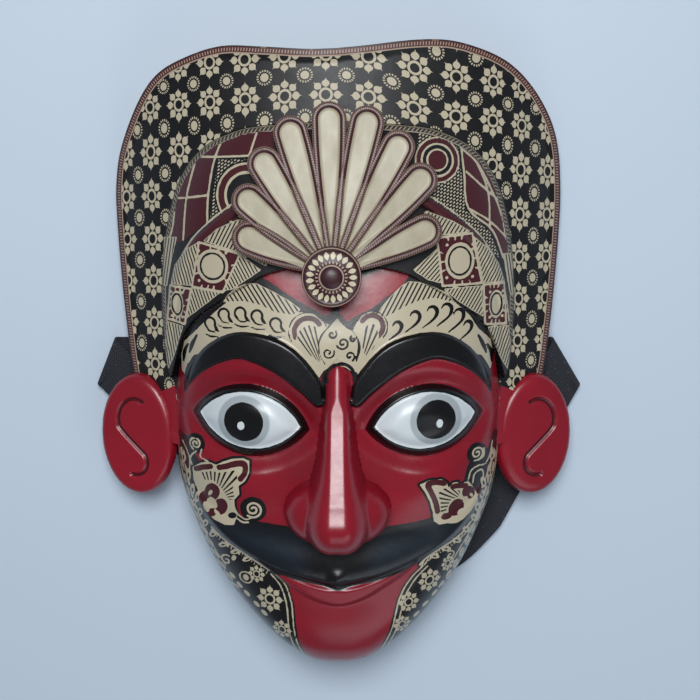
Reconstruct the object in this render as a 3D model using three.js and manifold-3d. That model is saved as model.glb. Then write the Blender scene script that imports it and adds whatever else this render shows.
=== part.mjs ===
// A carved wooden dance mask that lies on its back: an arched crown, a domed cap with a fan of petals,
// a face with a long nose and a moustache, two flat ears, and an elastic strap that loops out at the temples.
// Millimetres. +Z points out of the face, +Y to the top of the crown, and +X to the right of someone who
// looks at the face. The origin is in the middle of the outline, on the surface that the mask lies on.
// The sizes below are drawn from a point between the brows' inner ends and the nose, MIDDLE_Y above it.

import * as THREE from "three";
import { mergeVertices } from "three/addons/utils/BufferGeometryUtils.js";
import Module from "manifold-3d";

const wasm = await Module();
wasm.setup();

// Driving dimensions of the shell
const CHIN_Y = -151.5;
const MIDDLE_Y = -6.05; // halfway between the chin and the crown's top
const CROWN_HALF_WIDTH = 104.5;
const FACE_HALF_WIDTH = 76;
const CROWN_HEIGHT = 52; // of the crown's arch at the middle, above the back
const CROWN_RADIUS = 145; // of that arch
const WALL = 9; // thickness of the carved shell
const STRAP_GAP = { height: 6.5, from: -118, to: 24, slope: 10 }; // how the back edge makes way for the strap

// Crown outline: the top edge's halves from the dip in the middle, and the side edge that both share.
// The left shoulder is a little lower and rounder than the right one
const CROWN_TOP = {
  right: [
    [0, 135.1],
    [13, 136.4],
    [34, 139],
    [49, 139.2],
    [62.5, 136.4],
    [74, 132.1],
    [83, 126],
    [91.5, 117],
    [99, 105],
    [103, 92],
  ],
  left: [
    [0, 135.1],
    [13, 134.8],
    [32, 136],
    [50.5, 136.8],
    [67, 132.8],
    [81.5, 125.8],
    [92, 113],
    [101.5, 92.5],
  ],
};
const CROWN_SIDE = [
  [104.5, 76],
  [CROWN_HALF_WIDTH, 62],
  [103, 38],
  [100.5, 12],
  [97, -13],
  [91, -30],
  [82, -41],
  [66, -46],
];
const CROWN_BORDER = { width: 4.4, height: 1 };
// Face outline, right half, from the chin to under the cap
const FACE_EDGE = [
  [0, CHIN_Y],
  [8, -150.3],
  [16, -147],
  [24, -141.4],
  [31, -135.4],
  [38, -128.5],
  [45.5, -120],
  [52.5, -111],
  [59, -100.5],
  [64, -90],
  [68.5, -79],
  [72.5, -67.5],
  [75, -56],
  [FACE_HALF_WIDTH, -44],
  [FACE_HALF_WIDTH, 10],
  [70, 40],
  [45, 64],
  [0, 70],
];
// Height of the face along its middle, without nose, moustache and lips
const FACE_PROFILE = [
  [-153.5, 0],
  [-151.5, 20],
  [-148.5, 33],
  [-143, 43.5],
  [-134, 51.5],
  [-124, 55],
  [-112, 56.5],
  [-104, 58],
  [-92, 60.5],
  [-75, 63],
  [-55, 65],
  [-30, 67],
  [-10, 69.5],
  [5, 70],
  [20, 68.5],
  [44, 65],
  [70, 58],
];
const FACE_ROUNDING = { across: 2.8, root: 2.9, spare: 1.5 };
const CHEEK = { x: 43, y: -58, radius: 24, height: 2.5 };

// Cap outline, right half: its upper edge from the top, then its lower edge back to the middle
const CAP_EDGE = [
  [0, 104],
  [34, 102],
  [46, 99.5],
  [58, 94],
  [67, 85.5],
  [74, 72],
  [79, 51],
  [81, 28],
  [80.5, 8],
  [79, -6],
  [76, -12],
  [73, -4],
  [69, 8],
  [63, 16.5],
  [57, 21.5],
  [47, 28],
  [33, 36.5],
  [20, 40.5],
  [0, 44],
];
const CAP = { halfWidth: 82, centreY: 20, height: 86, outline: 3, step: 3.5, bulge: 16, roundness: 5.8 };
// The roll that parts the cap's crown from its front band, as [x, y, half-width]
const CAP_ROLL = [
  [30, 74, 2.6],
  [42, 67, 2.6],
  [54, 58.5, 2.6],
  [64, 49, 2.6],
  [71.5, 36, 2.6],
  [76, 20, 2.6],
  [78, 4, 2],
];
const CAP_ROLL_HEIGHT = 1.6;

// The eye is where two discs overlap: the eye's corners and how far each disc's arc bulges
const EYE = { inner: [12.2, -29.8], outer: [65.7, -24.8], upper: 17.6, lower: 15.2, lid: 3.2 };
const EYE_SOCKET = { depth: 3.5, reach: 8 };
const EYEBALL = { bulge: 8, run: 13 };
const LID_HEIGHT = 1.4;
// Brow, moustache and lips, right half, as [x, y, half-width]
const BROW = [
  [68.5, -13.5, 0.6],
  [63, -4.5, 2.8],
  [54, 3.5, 4.8],
  [41.5, 7.6, 6],
  [25.5, 3, 6.9],
  [13, -8, 5.4],
  [8.2, -16.2, 2.9],
];
const BROW_HEIGHT = 2.2;
const MOUSTACHE = [
  [66.5, -59.5, 0.8],
  [60, -68.5, 4],
  [50, -76.2, 6.8],
  [36, -82, 9.4],
  [19, -86.8, 11.6],
  [0, -91.5, 12.6],
];
const MOUSTACHE_HEIGHT = 3.4;
const LIPS = [
  [27, -94.5, 0.5],
  [18, -99.5, 2.1],
  [9, -104.6, 2.8],
  [0, -107, 3],
];
const LIPS_HEIGHT = 2.6;
// Nose bridge, as [y, half-width, height above the face], then the tip and the wings as ellipsoids
const NOSE_BRIDGE = [
  [-76, 16, 22],
  [-70, 17, 27],
  [-61, 15.5, 27],
  [-53, 12.5, 24.5],
  [-42, 9.6, 19.5],
  [-30, 7.8, 14],
  [-18, 6.4, 9],
  [-7, 5.6, 5],
  [-1, 4.6, 3],
  [2, 1.5, 1],
];
const NOSE_TIP = { centre: [0, -68, 70], radii: [14.5, 14.8, 25] };
const NOSE_WING = { centre: [13.5, -67, 62], radii: [10.5, 10, 23] };

// The fan: a round button and nine petals, each [degrees from +Y towards +X, length]
const FAN = { x: -2.2, y: 38.9, z: 79.5, fall: 12, reach: 75, thickness: 12 };
const PETALS = [
  [-66, 46],
  [-48.4, 54.6],
  [-31.3, 62.2],
  [-16.3, 69.6],
  [-1, 73],
  [13.1, 73],
  [27.5, 68],
  [43.1, 62.3],
  [65, 51],
];
const PETAL = { rootRadius: 8, rootHalfWidth: 2.4, halfWidth: 7.4, rim: 1.9, dish: 1.8, bevel: 0.7 };
const BUTTON = { radius: 12.6, rise: 6.5, bossRadius: 5, depth: 16 };

// The ears: oval discs that lean outwards, with an S-shaped groove of two arcs,
// each [x, y, radius across, radius along, first degree, last degree]
const EAR = { x: { left: 94, right: 91.8 }, y: -40.5, z: 20, halfWidth: 19.5, halfHeight: 29, thickness: 9.5, lean: 20 };
const EAR_GROOVE_RADIUS = 1.3;
const EAR_GROOVE = [
  [-0.6, 7.5, 8.5, 9.5, 60, 214],
  [-0.4, -13, 6.2, 6.4, 60, -108],
];

// The blank that surfaces are cut from, and how finely: squares along its side, and how far a flat
// triangle may be from the true surface
const BLANK = { side: 312, floor: -20, height: 130 };
const CAP_GRID = { cells: 64, tolerance: 0.8 };
const FACE_GRID = { cells: 128, tolerance: 1.6 };
const HOLLOW_GRID = { cells: 64, tolerance: 2 };
const ARCH_END = 115; // half of the width over which the crown's arch is drawn, wider than the crown
const SIMPLER = 0.25; // how far merging small triangles may move the carving's surface

// The strap: a flat elastic band that is folded over at each temple. Each fold is given by the place where
// the band's middle turns and the heading in which it goes back under the mask, in degrees from +X
const STRAP = { width: 22, thickness: 1.4, low: 1.1, foldRadius: 1.6, startX: 71, flatX: 99 };
const STRAP_FOLDS = {
  left: { x: 110, y: -8, heading: -136, back: 38 },
  right: { x: 107.6, y: -8, heading: -118, back: 84 },
};
// Between the folds the band runs on its edge through the hollow, as [x, y, z, roll in degrees]
const STRAP_ROUTE = [
  [-62, -54, 4.8, 6],
  [-42, -72, 10.5, 50],
  [-19, -88, 12.8, 85],
  [5, -102, 12.6, 80],
  [25, -109.5, 9.8, 42],
  [42, -107.5, 5, 8],
  [56, -99, 4.4, 0],
];

const clamp = (v, low = 0, high = 1) => Math.min(high, Math.max(low, v));
const ease = (t) => clamp(t) ** 2 * (3 - 2 * clamp(t));
const degrees = THREE.MathUtils.degToRad;

// A smooth function through points [t, value], which never overshoots them
function curveThrough(points) {
  const last = points.length - 1;
  const steepness = (i) => (points[i + 1][1] - points[i][1]) / (points[i + 1][0] - points[i][0]);
  const slopes = points.map((_, i) => {
    if (i === 0) return steepness(0);
    if (i === last) return steepness(last - 1);
    const [before, after] = [steepness(i - 1), steepness(i)];
    return before * after <= 0 ? 0 : (2 * before * after) / (before + after);
  });
  return (t) => {
    if (t <= points[0][0]) return points[0][1];
    if (t >= points[last][0]) return points[last][1];
    const i = points.findIndex((p) => p[0] > t) - 1;
    const [[t0, v0], [t1, v1]] = [points[i], points[i + 1]];
    const h = t1 - t0;
    const s = (t - t0) / h;
    const start = v0 * (1 + 2 * s) * (1 - s) ** 2 + slopes[i] * h * s * (1 - s) ** 2;
    const end = v1 * s ** 2 * (3 - 2 * s) + slopes[i + 1] * h * s ** 2 * (s - 1);
    return start + end;
  };
}

// Points along a spline, with any further values such as a half-width carried along
function splinePoints(points, steps) {
  const columns = points[0].map((_, column) => curveThrough(points.map((p, i) => [i, p[column]])));
  const share = (i) => (i / steps) * (points.length - 1);
  return Array.from({ length: steps + 1 }, (_, i) => columns.map((value) => value(share(i))));
}

// An outline from its right half, which runs from the middle to the middle or to the right edge, and its
// left half, which is given as if it were at the right
function wholeShape(rightHalf, leftHalf, steps) {
  const smooth = (half) => new THREE.SplineCurve(half.map((p) => new THREE.Vector2(...p))).getPoints(steps);
  const left = smooth(leftHalf).map((p) => new THREE.Vector2(-p.x, p.y)).reverse();
  return new THREE.Shape([...smooth(rightHalf), ...left.filter((p) => p.x < -1e-6)]);
}

const mirroredShape = (half, steps) => wholeShape(half, half, steps);

// The same outline, moved inwards
function insetShape(shape, distance) {
  const points = shape.getPoints();
  const turn = Math.sign(THREE.ShapeUtils.area(points));
  const moved = points.map((p, i) => {
    const before = points[(i + points.length - 1) % points.length];
    const after = points[(i + 1) % points.length];
    const along = new THREE.Vector2().subVectors(after, before).normalize();
    return new THREE.Vector2(p.x - turn * along.y * distance, p.y + turn * along.x * distance);
  });
  return new THREE.Shape(moved);
}

// The outline of a stroke of [x, y, half-width]
function strokeShape(stroke, side = 1) {
  const edge = (sign) =>
    stroke.map(([x, y, halfWidth], i) => {
      const before = stroke[Math.max(i - 1, 0)];
      const after = stroke[Math.min(i + 1, stroke.length - 1)];
      const [dx, dy] = [after[0] - before[0], after[1] - before[1]];
      const scale = (sign * halfWidth) / Math.hypot(dx, dy);
      return new THREE.Vector2(side * (x - dy * scale), y + dx * scale);
    });
  return new THREE.Shape([...edge(1), ...edge(-1).reverse()]);
}

const acrossTheMiddle = (half) => [
  ...half,
  ...half
    .slice(0, -1)
    .reverse()
    .map(([x, ...rest]) => [-x, ...rest]),
];

const faceHalfWidth = curveThrough(FACE_EDGE.slice(0, 14).map(([x, y]) => [y, x]));
const faceProfile = curveThrough(FACE_PROFILE);

function crownArch(x) {
  const across = Math.min(Math.abs(x), ARCH_END);
  return CROWN_HEIGHT - CROWN_RADIUS + Math.sqrt(CROWN_RADIUS ** 2 - across ** 2);
}

// The cap is a dome on the crown's arch: 0 at its middle, 1 at its outline
function capSurface(x, y) {
  const across = Math.abs(x) / CAP.halfWidth;
  const up = Math.max(0, (y - CAP.centreY) / CAP.height);
  const share = Math.min(1, (across ** CAP.outline + up ** CAP.outline) ** (1 / CAP.outline));
  return crownArch(x) + CAP.step + CAP.bulge * (1 - share ** CAP.roundness);
}

// Where the eye's discs overlap, by the distance from a point to their common edge: negative inside it
function eyeArcs() {
  const [inner, outer] = [new THREE.Vector2(...EYE.inner), new THREE.Vector2(...EYE.outer)];
  const along = outer.clone().sub(inner);
  const half = along.length() / 2;
  along.normalize();
  const up = new THREE.Vector2(-along.y, along.x);
  const middle = inner.clone().add(outer).multiplyScalar(0.5);
  const disc = (bulge, side) => {
    const radius = (half ** 2 + bulge ** 2) / (2 * bulge);
    return { radius, centre: middle.clone().addScaledVector(up, side * (bulge - radius)) };
  };
  return [disc(EYE.upper, 1), disc(EYE.lower, -1)];
}
const [upperArc, lowerArc] = eyeArcs();

function eyeDistance(x, y) {
  const from = ({ centre, radius }) => Math.hypot(Math.abs(x) - centre.x, y - centre.y) - radius;
  return Math.max(from(upperArc), from(lowerArc));
}

function faceSurface(x, y) {
  const side = Math.abs(x);
  const across = Math.min(1, side / (faceHalfWidth(y) + FACE_ROUNDING.spare));
  let z = faceProfile(y) * (1 - across ** FACE_ROUNDING.across) ** (1 / FACE_ROUNDING.root);
  z += CHEEK.height * ease(1 - Math.hypot(side - CHEEK.x, y - CHEEK.y) / CHEEK.radius);
  const eye = eyeDistance(x, y);
  z -= EYE_SOCKET.depth * ease(1 - Math.max(eye, 0) / EYE_SOCKET.reach);
  return z + EYEBALL.bulge * Math.sin((clamp(-eye / EYEBALL.run) * Math.PI) / 2);
}

// The hollow: its height along the middle, and its outline at the back, open at the top of the crown
const HOLLOW_PROFILE = [
  [-143, 14],
  [-139, 26],
  [-131, 38],
  [-116, 46],
  [-90, 51],
  [-60, 54],
  [0, 57],
  [35, 57],
  [62, 54],
  [88, 46],
  [104, 36],
];
const HOLLOW_EDGE = [
  [0, -142.5],
  [9, -141],
  [17.5, -136.8],
  [26, -130],
  [34, -121],
  [42.5, -109],
  [50, -96.5],
  [57, -83],
  [62.5, -69],
  [66.5, -56],
  [71, -45],
  [78, -36],
  [86, -24],
  [91, -8],
  [94, 14],
  [95.5, 40],
  [96, 70],
  [97.5, 86],
  [101, 98],
  [110, 108],
  [112, 150],
  [0, 160],
];
const hollowProfile = curveThrough(HOLLOW_PROFILE);

function hollowSurface(x, y) {
  const halfWidth = Math.max(1, faceHalfWidth(Math.min(y, 0)) - WALL / 2);
  const across = Math.min(1, Math.abs(x) / halfWidth);
  const behindFace = hollowProfile(y) * (1 - across ** 2.8) ** (1 / 2.6);
  const underWings = (crownArch(x) - WALL) * ease((y + 62) / 14);
  return Math.max(behindFace, underWings);
}

// Triangles over a square that are small only where the surface needs it: each triangle is half of the
// one before it, and a split is kept where leaving it out would move the surface by more than the tolerance
function adaptiveTriangles(height, side, cells, tolerance) {
  const size = cells + 1;
  const step = side / cells;
  const place = (i) => i * step - side / 2;
  const heights = Float64Array.from({ length: size * size }, (_, k) =>
    height(place(k % size), place(Math.floor(k / size))),
  );
  const errors = new Float64Array(size * size);
  const middleOf = (ax, ay, bx, by) => ((ay + by) >> 1) * size + ((ax + bx) >> 1);
  const legs = (ax, ay, cx, cy) => Math.abs(ax - cx) + Math.abs(ay - cy);
  let settled;

  // The right angle is at c, and the long side runs from a to b
  function measure(ax, ay, bx, by, cx, cy) {
    if (legs(ax, ay, cx, cy) <= 1) return;
    const mx = (ax + bx) >> 1;
    const my = (ay + by) >> 1;
    measure(cx, cy, ax, ay, mx, my);
    measure(bx, by, cx, cy, mx, my);
    const middle = middleOf(ax, ay, bx, by);
    const straight = (heights[ay * size + ax] + heights[by * size + bx]) / 2;
    let largest = Math.abs(straight - heights[middle]);
    if (legs(mx, my, cx, cy) > 1)
      largest = Math.max(largest, errors[middleOf(cx, cy, ax, ay)], errors[middleOf(bx, by, cx, cy)]);
    if (largest > errors[middle]) {
      errors[middle] = largest;
      settled = false;
    }
  }
  const halves = [
    [0, 0, cells, cells, cells, 0],
    [cells, cells, 0, 0, 0, cells],
  ];
  // Again until nothing changes, so that a split counts on both sides of its edge
  do {
    settled = true;
    halves.forEach((half) => measure(...half));
  } while (!settled);

  const triangles = [];
  const at = (i, j) => [place(i), place(j), heights[j * size + i]];
  function collect(ax, ay, bx, by, cx, cy) {
    const mx = (ax + bx) >> 1;
    const my = (ay + by) >> 1;
    if (legs(ax, ay, cx, cy) > 1 && errors[my * size + mx] > tolerance) {
      collect(cx, cy, ax, ay, mx, my);
      collect(bx, by, cx, cy, mx, my);
    } else triangles.push([at(ax, ay), at(bx, by), at(cx, cy)]);
  }
  halves.forEach((half) => collect(...half));
  return triangles;
}

function solidOf(geometry) {
  const bare = geometry.index ? geometry.toNonIndexed() : geometry;
  const points = new THREE.BufferGeometry().setAttribute("position", bare.getAttribute("position"));
  const merged = mergeVertices(points, 1e-4);
  return new wasm.Manifold(
    new wasm.Mesh({
      numProp: 3,
      vertProperties: merged.attributes.position.array,
      triVerts: new Uint32Array(merged.index.array),
    }),
  );
}

function geometryOf(solid) {
  const mesh = solid.getMesh();
  return new THREE.BufferGeometry()
    .setAttribute("position", new THREE.BufferAttribute(mesh.vertProperties, mesh.numProp))
    .setIndex(new THREE.BufferAttribute(mesh.triVerts, 1));
}

function solidOfTriangles(triangles) {
  const points = new THREE.Float32BufferAttribute(triangles.flat(2), 3);
  return solidOf(new THREE.BufferGeometry().setAttribute("position", points));
}

// A closed square block under a surface, down to the blank's floor
function blockUnder(height, { cells, tolerance }) {
  const { side, floor } = BLANK;
  const onEdge = (value) => Math.abs(value) > side / 2 - 1e-6;
  const sameSide = (p, q) => [0, 1].some((axis) => onEdge(p[axis]) && Math.abs(p[axis] - q[axis]) < 1e-6);
  const down = ([x, y]) => [x, y, floor];
  const triangles = [];
  for (const [a, b, c] of adaptiveTriangles(height, side, cells, tolerance)) {
    const turn = (b[0] - a[0]) * (c[1] - a[1]) - (b[1] - a[1]) * (c[0] - a[0]);
    const [p, q, r] = turn > 0 ? [a, b, c] : [a, c, b];
    triangles.push([p, q, r], [down(p), down(r), down(q)]);
    const edges = [[p, q], [q, r], [r, p]].filter(([s, t]) => sameSide(s, t));
    edges.forEach(([s, t]) => triangles.push([s, down(s), t], [t, down(s), down(t)]));
  }
  return solidOfTriangles(triangles);
}

// A closed solid through rings of points, one ring after the other, with flat ends
function loft(rings) {
  const count = rings[0].length;
  const triangles = [];
  for (let r = 1; r < rings.length; r++)
    for (let i = 0; i < count; i++) {
      const j = (i + 1) % count;
      triangles.push([rings[r - 1][i], rings[r - 1][j], rings[r][j]]);
      triangles.push([rings[r - 1][i], rings[r][j], rings[r][i]]);
    }
  const [first, last] = [rings[0], rings[rings.length - 1]];
  for (let i = 1; i < count - 1; i++)
    triangles.push([first[0], first[i + 1], first[i]], [last[0], last[i], last[i + 1]]);
  const solid = solidOfTriangles(triangles);
  return solid.volume() > 0 ? solid : solidOfTriangles(triangles.map(([a, b, c]) => [a, c, b]));
}

function prism(shape) {
  const options = { depth: BLANK.height, bevelEnabled: false, curveSegments: 10 };
  return solidOf(new THREE.ExtrudeGeometry(shape, options));
}

// What stands out of a carved surface inside an outline
const raised = (surface, height, shape) => surface.translate([0, 0, height]).intersect(prism(shape));

// What lies under the crown's arch, which runs along Y, or under the same arch lifted a little
function archAlongY(lift) {
  const centre = CROWN_HEIGHT - CROWN_RADIUS;
  const reach = Math.asin(ARCH_END / CROWN_RADIUS);
  const section = new THREE.Shape()
    .moveTo(ARCH_END, BLANK.floor)
    .absarc(0, centre, CROWN_RADIUS + lift, Math.PI / 2 - reach, Math.PI / 2 + reach)
    .lineTo(-ARCH_END, BLANK.floor);
  const options = { depth: BLANK.side, bevelEnabled: false, curveSegments: 26 };
  const arch = new THREE.ExtrudeGeometry(section, options);
  return solidOf(arch.rotateX(Math.PI / 2).translate(0, BLANK.side / 2, 0));
}

function crown() {
  const [right, left] = [CROWN_TOP.right, CROWN_TOP.left].map((top) => [...top, ...CROWN_SIDE]);
  const outline = wholeShape(right, left, 44);
  const border = prism(outline).subtract(prism(insetShape(outline, CROWN_BORDER.width)));
  const board = archAlongY(0).intersect(prism(outline));
  return board.add(archAlongY(CROWN_BORDER.height).intersect(border));
}

function cap() {
  const dome = blockUnder(capSurface, CAP_GRID);
  const roll = splinePoints(CAP_ROLL, 10);
  return [-1, 1].reduce(
    (solid, side) => solid.add(raised(dome, CAP_ROLL_HEIGHT, strokeShape(roll, side))),
    dome.intersect(prism(mirroredShape(CAP_EDGE, 44))),
  );
}

// The outline of an eye, or the same drawn smaller about its middle
function eyeShape(side, scale) {
  const [inner, outer] = [new THREE.Vector2(...EYE.inner), new THREE.Vector2(...EYE.outer)];
  const middle = inner.clone().add(outer).multiplyScalar(0.5);
  const arc = ({ centre, radius }, from, to) => {
    const start = from.clone().sub(centre).angle();
    const turn = to.clone().sub(centre).angle() - start;
    const sweep = Math.atan2(Math.sin(turn), Math.cos(turn));
    return Array.from({ length: 8 }, (_, i) => {
      const a = start + (sweep * i) / 8;
      return new THREE.Vector2(centre.x + radius * Math.cos(a), centre.y + radius * Math.sin(a));
    });
  };
  const points = [...arc(upperArc, inner, outer), ...arc(lowerArc, outer, inner)];
  const placed = points.map((p) => p.sub(middle).multiply(scale).add(middle));
  return new THREE.Shape(placed.map((p) => new THREE.Vector2(side * p.x, p.y)));
}

function eyelid(skin, side) {
  const halfWidth = (EYE.outer[0] - EYE.inner[0]) / 2;
  const halfHeight = (EYE.upper + EYE.lower) / 2;
  const opening = new THREE.Vector2(1 - (1.2 * EYE.lid) / halfWidth, 1 - EYE.lid / halfHeight);
  const rim = raised(skin, LID_HEIGHT, eyeShape(side, new THREE.Vector2(1, 1)));
  return rim.subtract(prism(eyeShape(side, opening)));
}

function nose() {
  const rings = NOSE_BRIDGE.map(([y, halfWidth, height]) => {
    const base = faceProfile(y);
    const top = Array.from({ length: 11 }, (_, i) => {
      const a = (i / 10) * Math.PI;
      return [halfWidth * Math.cos(a), y, base - 3 + (height + 3) * Math.sin(a) ** 0.8];
    });
    return [[halfWidth, y, base - 12], ...top, [-halfWidth, y, base - 12]];
  });
  const ball = ({ centre, radii }, side) => {
    const sphere = new THREE.SphereGeometry(1, 14, 9).scale(...radii);
    return solidOf(sphere.translate(side * centre[0], centre[1], centre[2]));
  };
  return loft(rings.reverse()).add(ball(NOSE_TIP, 1)).add(ball(NOSE_WING, 1)).add(ball(NOSE_WING, -1));
}

function face() {
  const skin = blockUnder(faceSurface, FACE_GRID);
  const brow = splinePoints(BROW, 12);
  let solid = skin.intersect(prism(mirroredShape(FACE_EDGE, 40))).add(nose());
  for (const side of [-1, 1]) {
    solid = solid.add(raised(skin, BROW_HEIGHT, strokeShape(brow, side)));
    solid = solid.add(eyelid(skin, side));
  }
  const moustache = splinePoints(acrossTheMiddle(MOUSTACHE), 22);
  const lips = splinePoints(acrossTheMiddle(LIPS), 14);
  solid = solid.add(raised(skin, MOUSTACHE_HEIGHT, strokeShape(moustache)));
  return solid.add(raised(skin, LIPS_HEIGHT, strokeShape(lips)));
}

const fanTop = (r) => FAN.z - (FAN.fall * r) / FAN.reach;

// One petal: narrow at the button, wide and round at its end, with a raised rim round a shallow dish
function petal([angle, length]) {
  const { rootRadius, rootHalfWidth, halfWidth, rim, dish, bevel } = PETAL;
  const straight = length - halfWidth - rootRadius;
  const swell = (s) => rootHalfWidth + (halfWidth - rootHalfWidth) * Math.sin((s * Math.PI) / 2);
  const stations = [0, 0.3, 0.6, 0.85, 1].map((s) => [rootRadius + s * straight, swell(s)]);
  const round = [0.4, 0.7, 0.9, 0.99].map((s) => [
    length - halfWidth + s * halfWidth,
    halfWidth * Math.sqrt(1 - s ** 2),
  ]);
  const turn = degrees(angle);
  const place = (across, r, z) => [
    FAN.x + r * Math.sin(turn) + across * Math.cos(turn),
    FAN.y + r * Math.cos(turn) - across * Math.sin(turn),
    z,
  ];
  const rings = [...stations, ...round].map(([r, w], i, all) => {
    const top = fanTop(r);
    const shoulder = w - Math.min(bevel, w / 3);
    const inner = Math.max(w - rim, w * 0.3);
    const atTip = i > all.length - 3;
    const floor = atTip ? top : top - dish * clamp(inner / 4);
    const right = [
      [w, top - bevel],
      [shoulder, top],
      [inner, top],
      [inner * 0.8, floor],
    ];
    const left = right.map(([across, z]) => [-across, z]).reverse();
    const bottom = top - FAN.thickness;
    return [[w, bottom], ...right, ...left, [-w, bottom]].map(([across, z]) => place(across, r, z));
  });
  return loft(rings);
}

// The button in the middle of the fan, with a raised edge, a hollow ring and a boss
function button() {
  const { radius, rise, bossRadius, depth } = BUTTON;
  const profile = [
    [0, -depth],
    [radius, -depth],
    [radius, rise - 1.6],
    [radius - 0.8, rise - 0.3],
    [radius - 2, rise - 0.6],
    [bossRadius + 2, rise + 0.4],
    [bossRadius, rise + 1.2],
    [bossRadius * 0.6, rise + 2],
    [0, rise + 2.3],
  ];
  const lathe = new THREE.LatheGeometry(profile.map((p) => new THREE.Vector2(...p)), 26);
  return solidOf(lathe.rotateX(Math.PI / 2).translate(FAN.x, FAN.y, FAN.z));
}

function ear(side) {
  const half = EAR.thickness / 2;
  const levels = [
    [0.8, -half],
    [0.93, -half * 0.72],
    [1, -half * 0.1],
    [0.985, half * 0.55],
    [0.93, half * 0.9],
    [0.8, half],
  ];
  const oval = (scale, z) =>
    Array.from({ length: 26 }, (_, i) => {
      const a = (i / 26) * 2 * Math.PI;
      return [EAR.halfWidth * scale * Math.cos(a), EAR.halfHeight * scale * Math.sin(a), z];
    });
  const route = EAR_GROOVE.flatMap(([x, y, across, along, first, last]) =>
    Array.from({ length: 8 }, (_, i) => {
      const a = degrees(first + ((last - first) * i) / 7);
      return new THREE.Vector3(-side * (x + across * Math.cos(a)), y + along * Math.sin(a), half + 0.2);
    }),
  );
  const section = new THREE.Shape().absarc(0, 0, EAR_GROOVE_RADIUS, 0, 2 * Math.PI);
  const extrudePath = new THREE.CatmullRomCurve3(route);
  const groove = new THREE.ExtrudeGeometry(section, { steps: 18, curveSegments: 3, extrudePath });
  const disc = loft(levels.map(([scale, z]) => oval(scale, z))).subtract(solidOf(groove));
  const x = side < 0 ? -EAR.x.left : EAR.x.right;
  return disc.rotate([0, side * EAR.lean, 0]).translate([x, EAR.y, EAR.z]);
}

// What is cut off the back edge along the temples and jaw, so that the strap can pass under it
function strapGap() {
  const { height, from, to, slope } = STRAP_GAP;
  const shape = new THREE.Shape()
    .moveTo(from - slope, -5)
    .lineTo(from - slope, 0)
    .lineTo(from, height)
    .lineTo(to, height)
    .lineTo(to + slope, 0)
    .lineTo(to + slope, -5);
  const block = new THREE.ExtrudeGeometry(shape, { depth: BLANK.side, bevelEnabled: false });
  // Its own X becomes the part's Y, its own Y the part's Z, and its length the part's X
  block.rotateX(Math.PI / 2).rotateZ(Math.PI / 2);
  return solidOf(block.translate(-BLANK.side / 2, 0, 0));
}

function carvedMask() {
  const opening = prism(mirroredShape(HOLLOW_EDGE, 50)).translate([0, 0, -10]);
  const hollow = blockUnder(hollowSurface, HOLLOW_GRID).intersect(opening);
  const pieces = [crown(), cap(), face()];
  const shell = pieces.reduce((all, piece) => all.add(piece)).subtract(hollow).subtract(strapGap());
  const added = [ear(-1), ear(1), ...PETALS.map(petal), button()];
  return added.reduce((all, piece) => all.add(piece), shell).simplify(SIMPLER);
}

// One end of the strap, at the right: down the underside of the crown's wing, out under its edge, over the
// fold and back. Each ring is the band's middle, its half-width and its half-thickness as vectors
function strapEnd({ x, y, heading, back }) {
  const [w, t] = [STRAP.width / 2, STRAP.thickness / 2];
  const rings = [];
  const underside = (at) => crownArch(at) - WALL - t;
  const drop = [
    [STRAP.startX, underside(STRAP.startX) - 2],
    [75, underside(75) - 2],
    [79, underside(79) - 3.5],
    [82.5, 9],
    [86, 4],
    [90, 2],
    [STRAP.flatX, STRAP.low],
  ];
  const height = curveThrough(drop);
  for (const [at] of drop) {
    const slope = Math.atan((height(at + 0.2) - height(at - 0.2)) / 0.4);
    rings.push({
      middle: new THREE.Vector3(at, y, height(at)),
      halfWidth: new THREE.Vector3(0, w, 0),
      up: new THREE.Vector3(-Math.sin(slope) * t, 0, Math.cos(slope) * t),
    });
  }
  const out = new THREE.Vector3(1, 0, 0);
  const home = new THREE.Vector3(Math.cos(degrees(heading)), Math.sin(degrees(heading)), 0);
  const fold = out.clone().add(home).normalize();
  const outwards = new THREE.Vector3(-fold.y, fold.x, 0);
  const ruling = fold.clone().multiplyScalar(w / fold.y);
  const turns = 8;
  for (let i = 0; i <= turns; i++) {
    const a = (i / turns) * Math.PI;
    const travelled = (a * STRAP.foldRadius) / out.dot(outwards);
    rings.push({
      middle: new THREE.Vector3(x, y, STRAP.low + STRAP.foldRadius * (1 - Math.cos(a)))
        .addScaledVector(fold, travelled * out.dot(fold))
        .addScaledVector(outwards, STRAP.foldRadius * Math.sin(a)),
      halfWidth: ruling.clone(),
      up: new THREE.Vector3(0, 0, Math.cos(a) * t).addScaledVector(outwards, -Math.sin(a) * t),
    });
  }
  const last = rings[rings.length - 1];
  for (const share of [0.5, 1])
    rings.push({
      middle: last.middle.clone().addScaledVector(home, back * share),
      halfWidth: new THREE.Vector3(home.y, -home.x, 0).multiplyScalar(w),
      up: last.up.clone(),
    });
  return rings;
}

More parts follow.
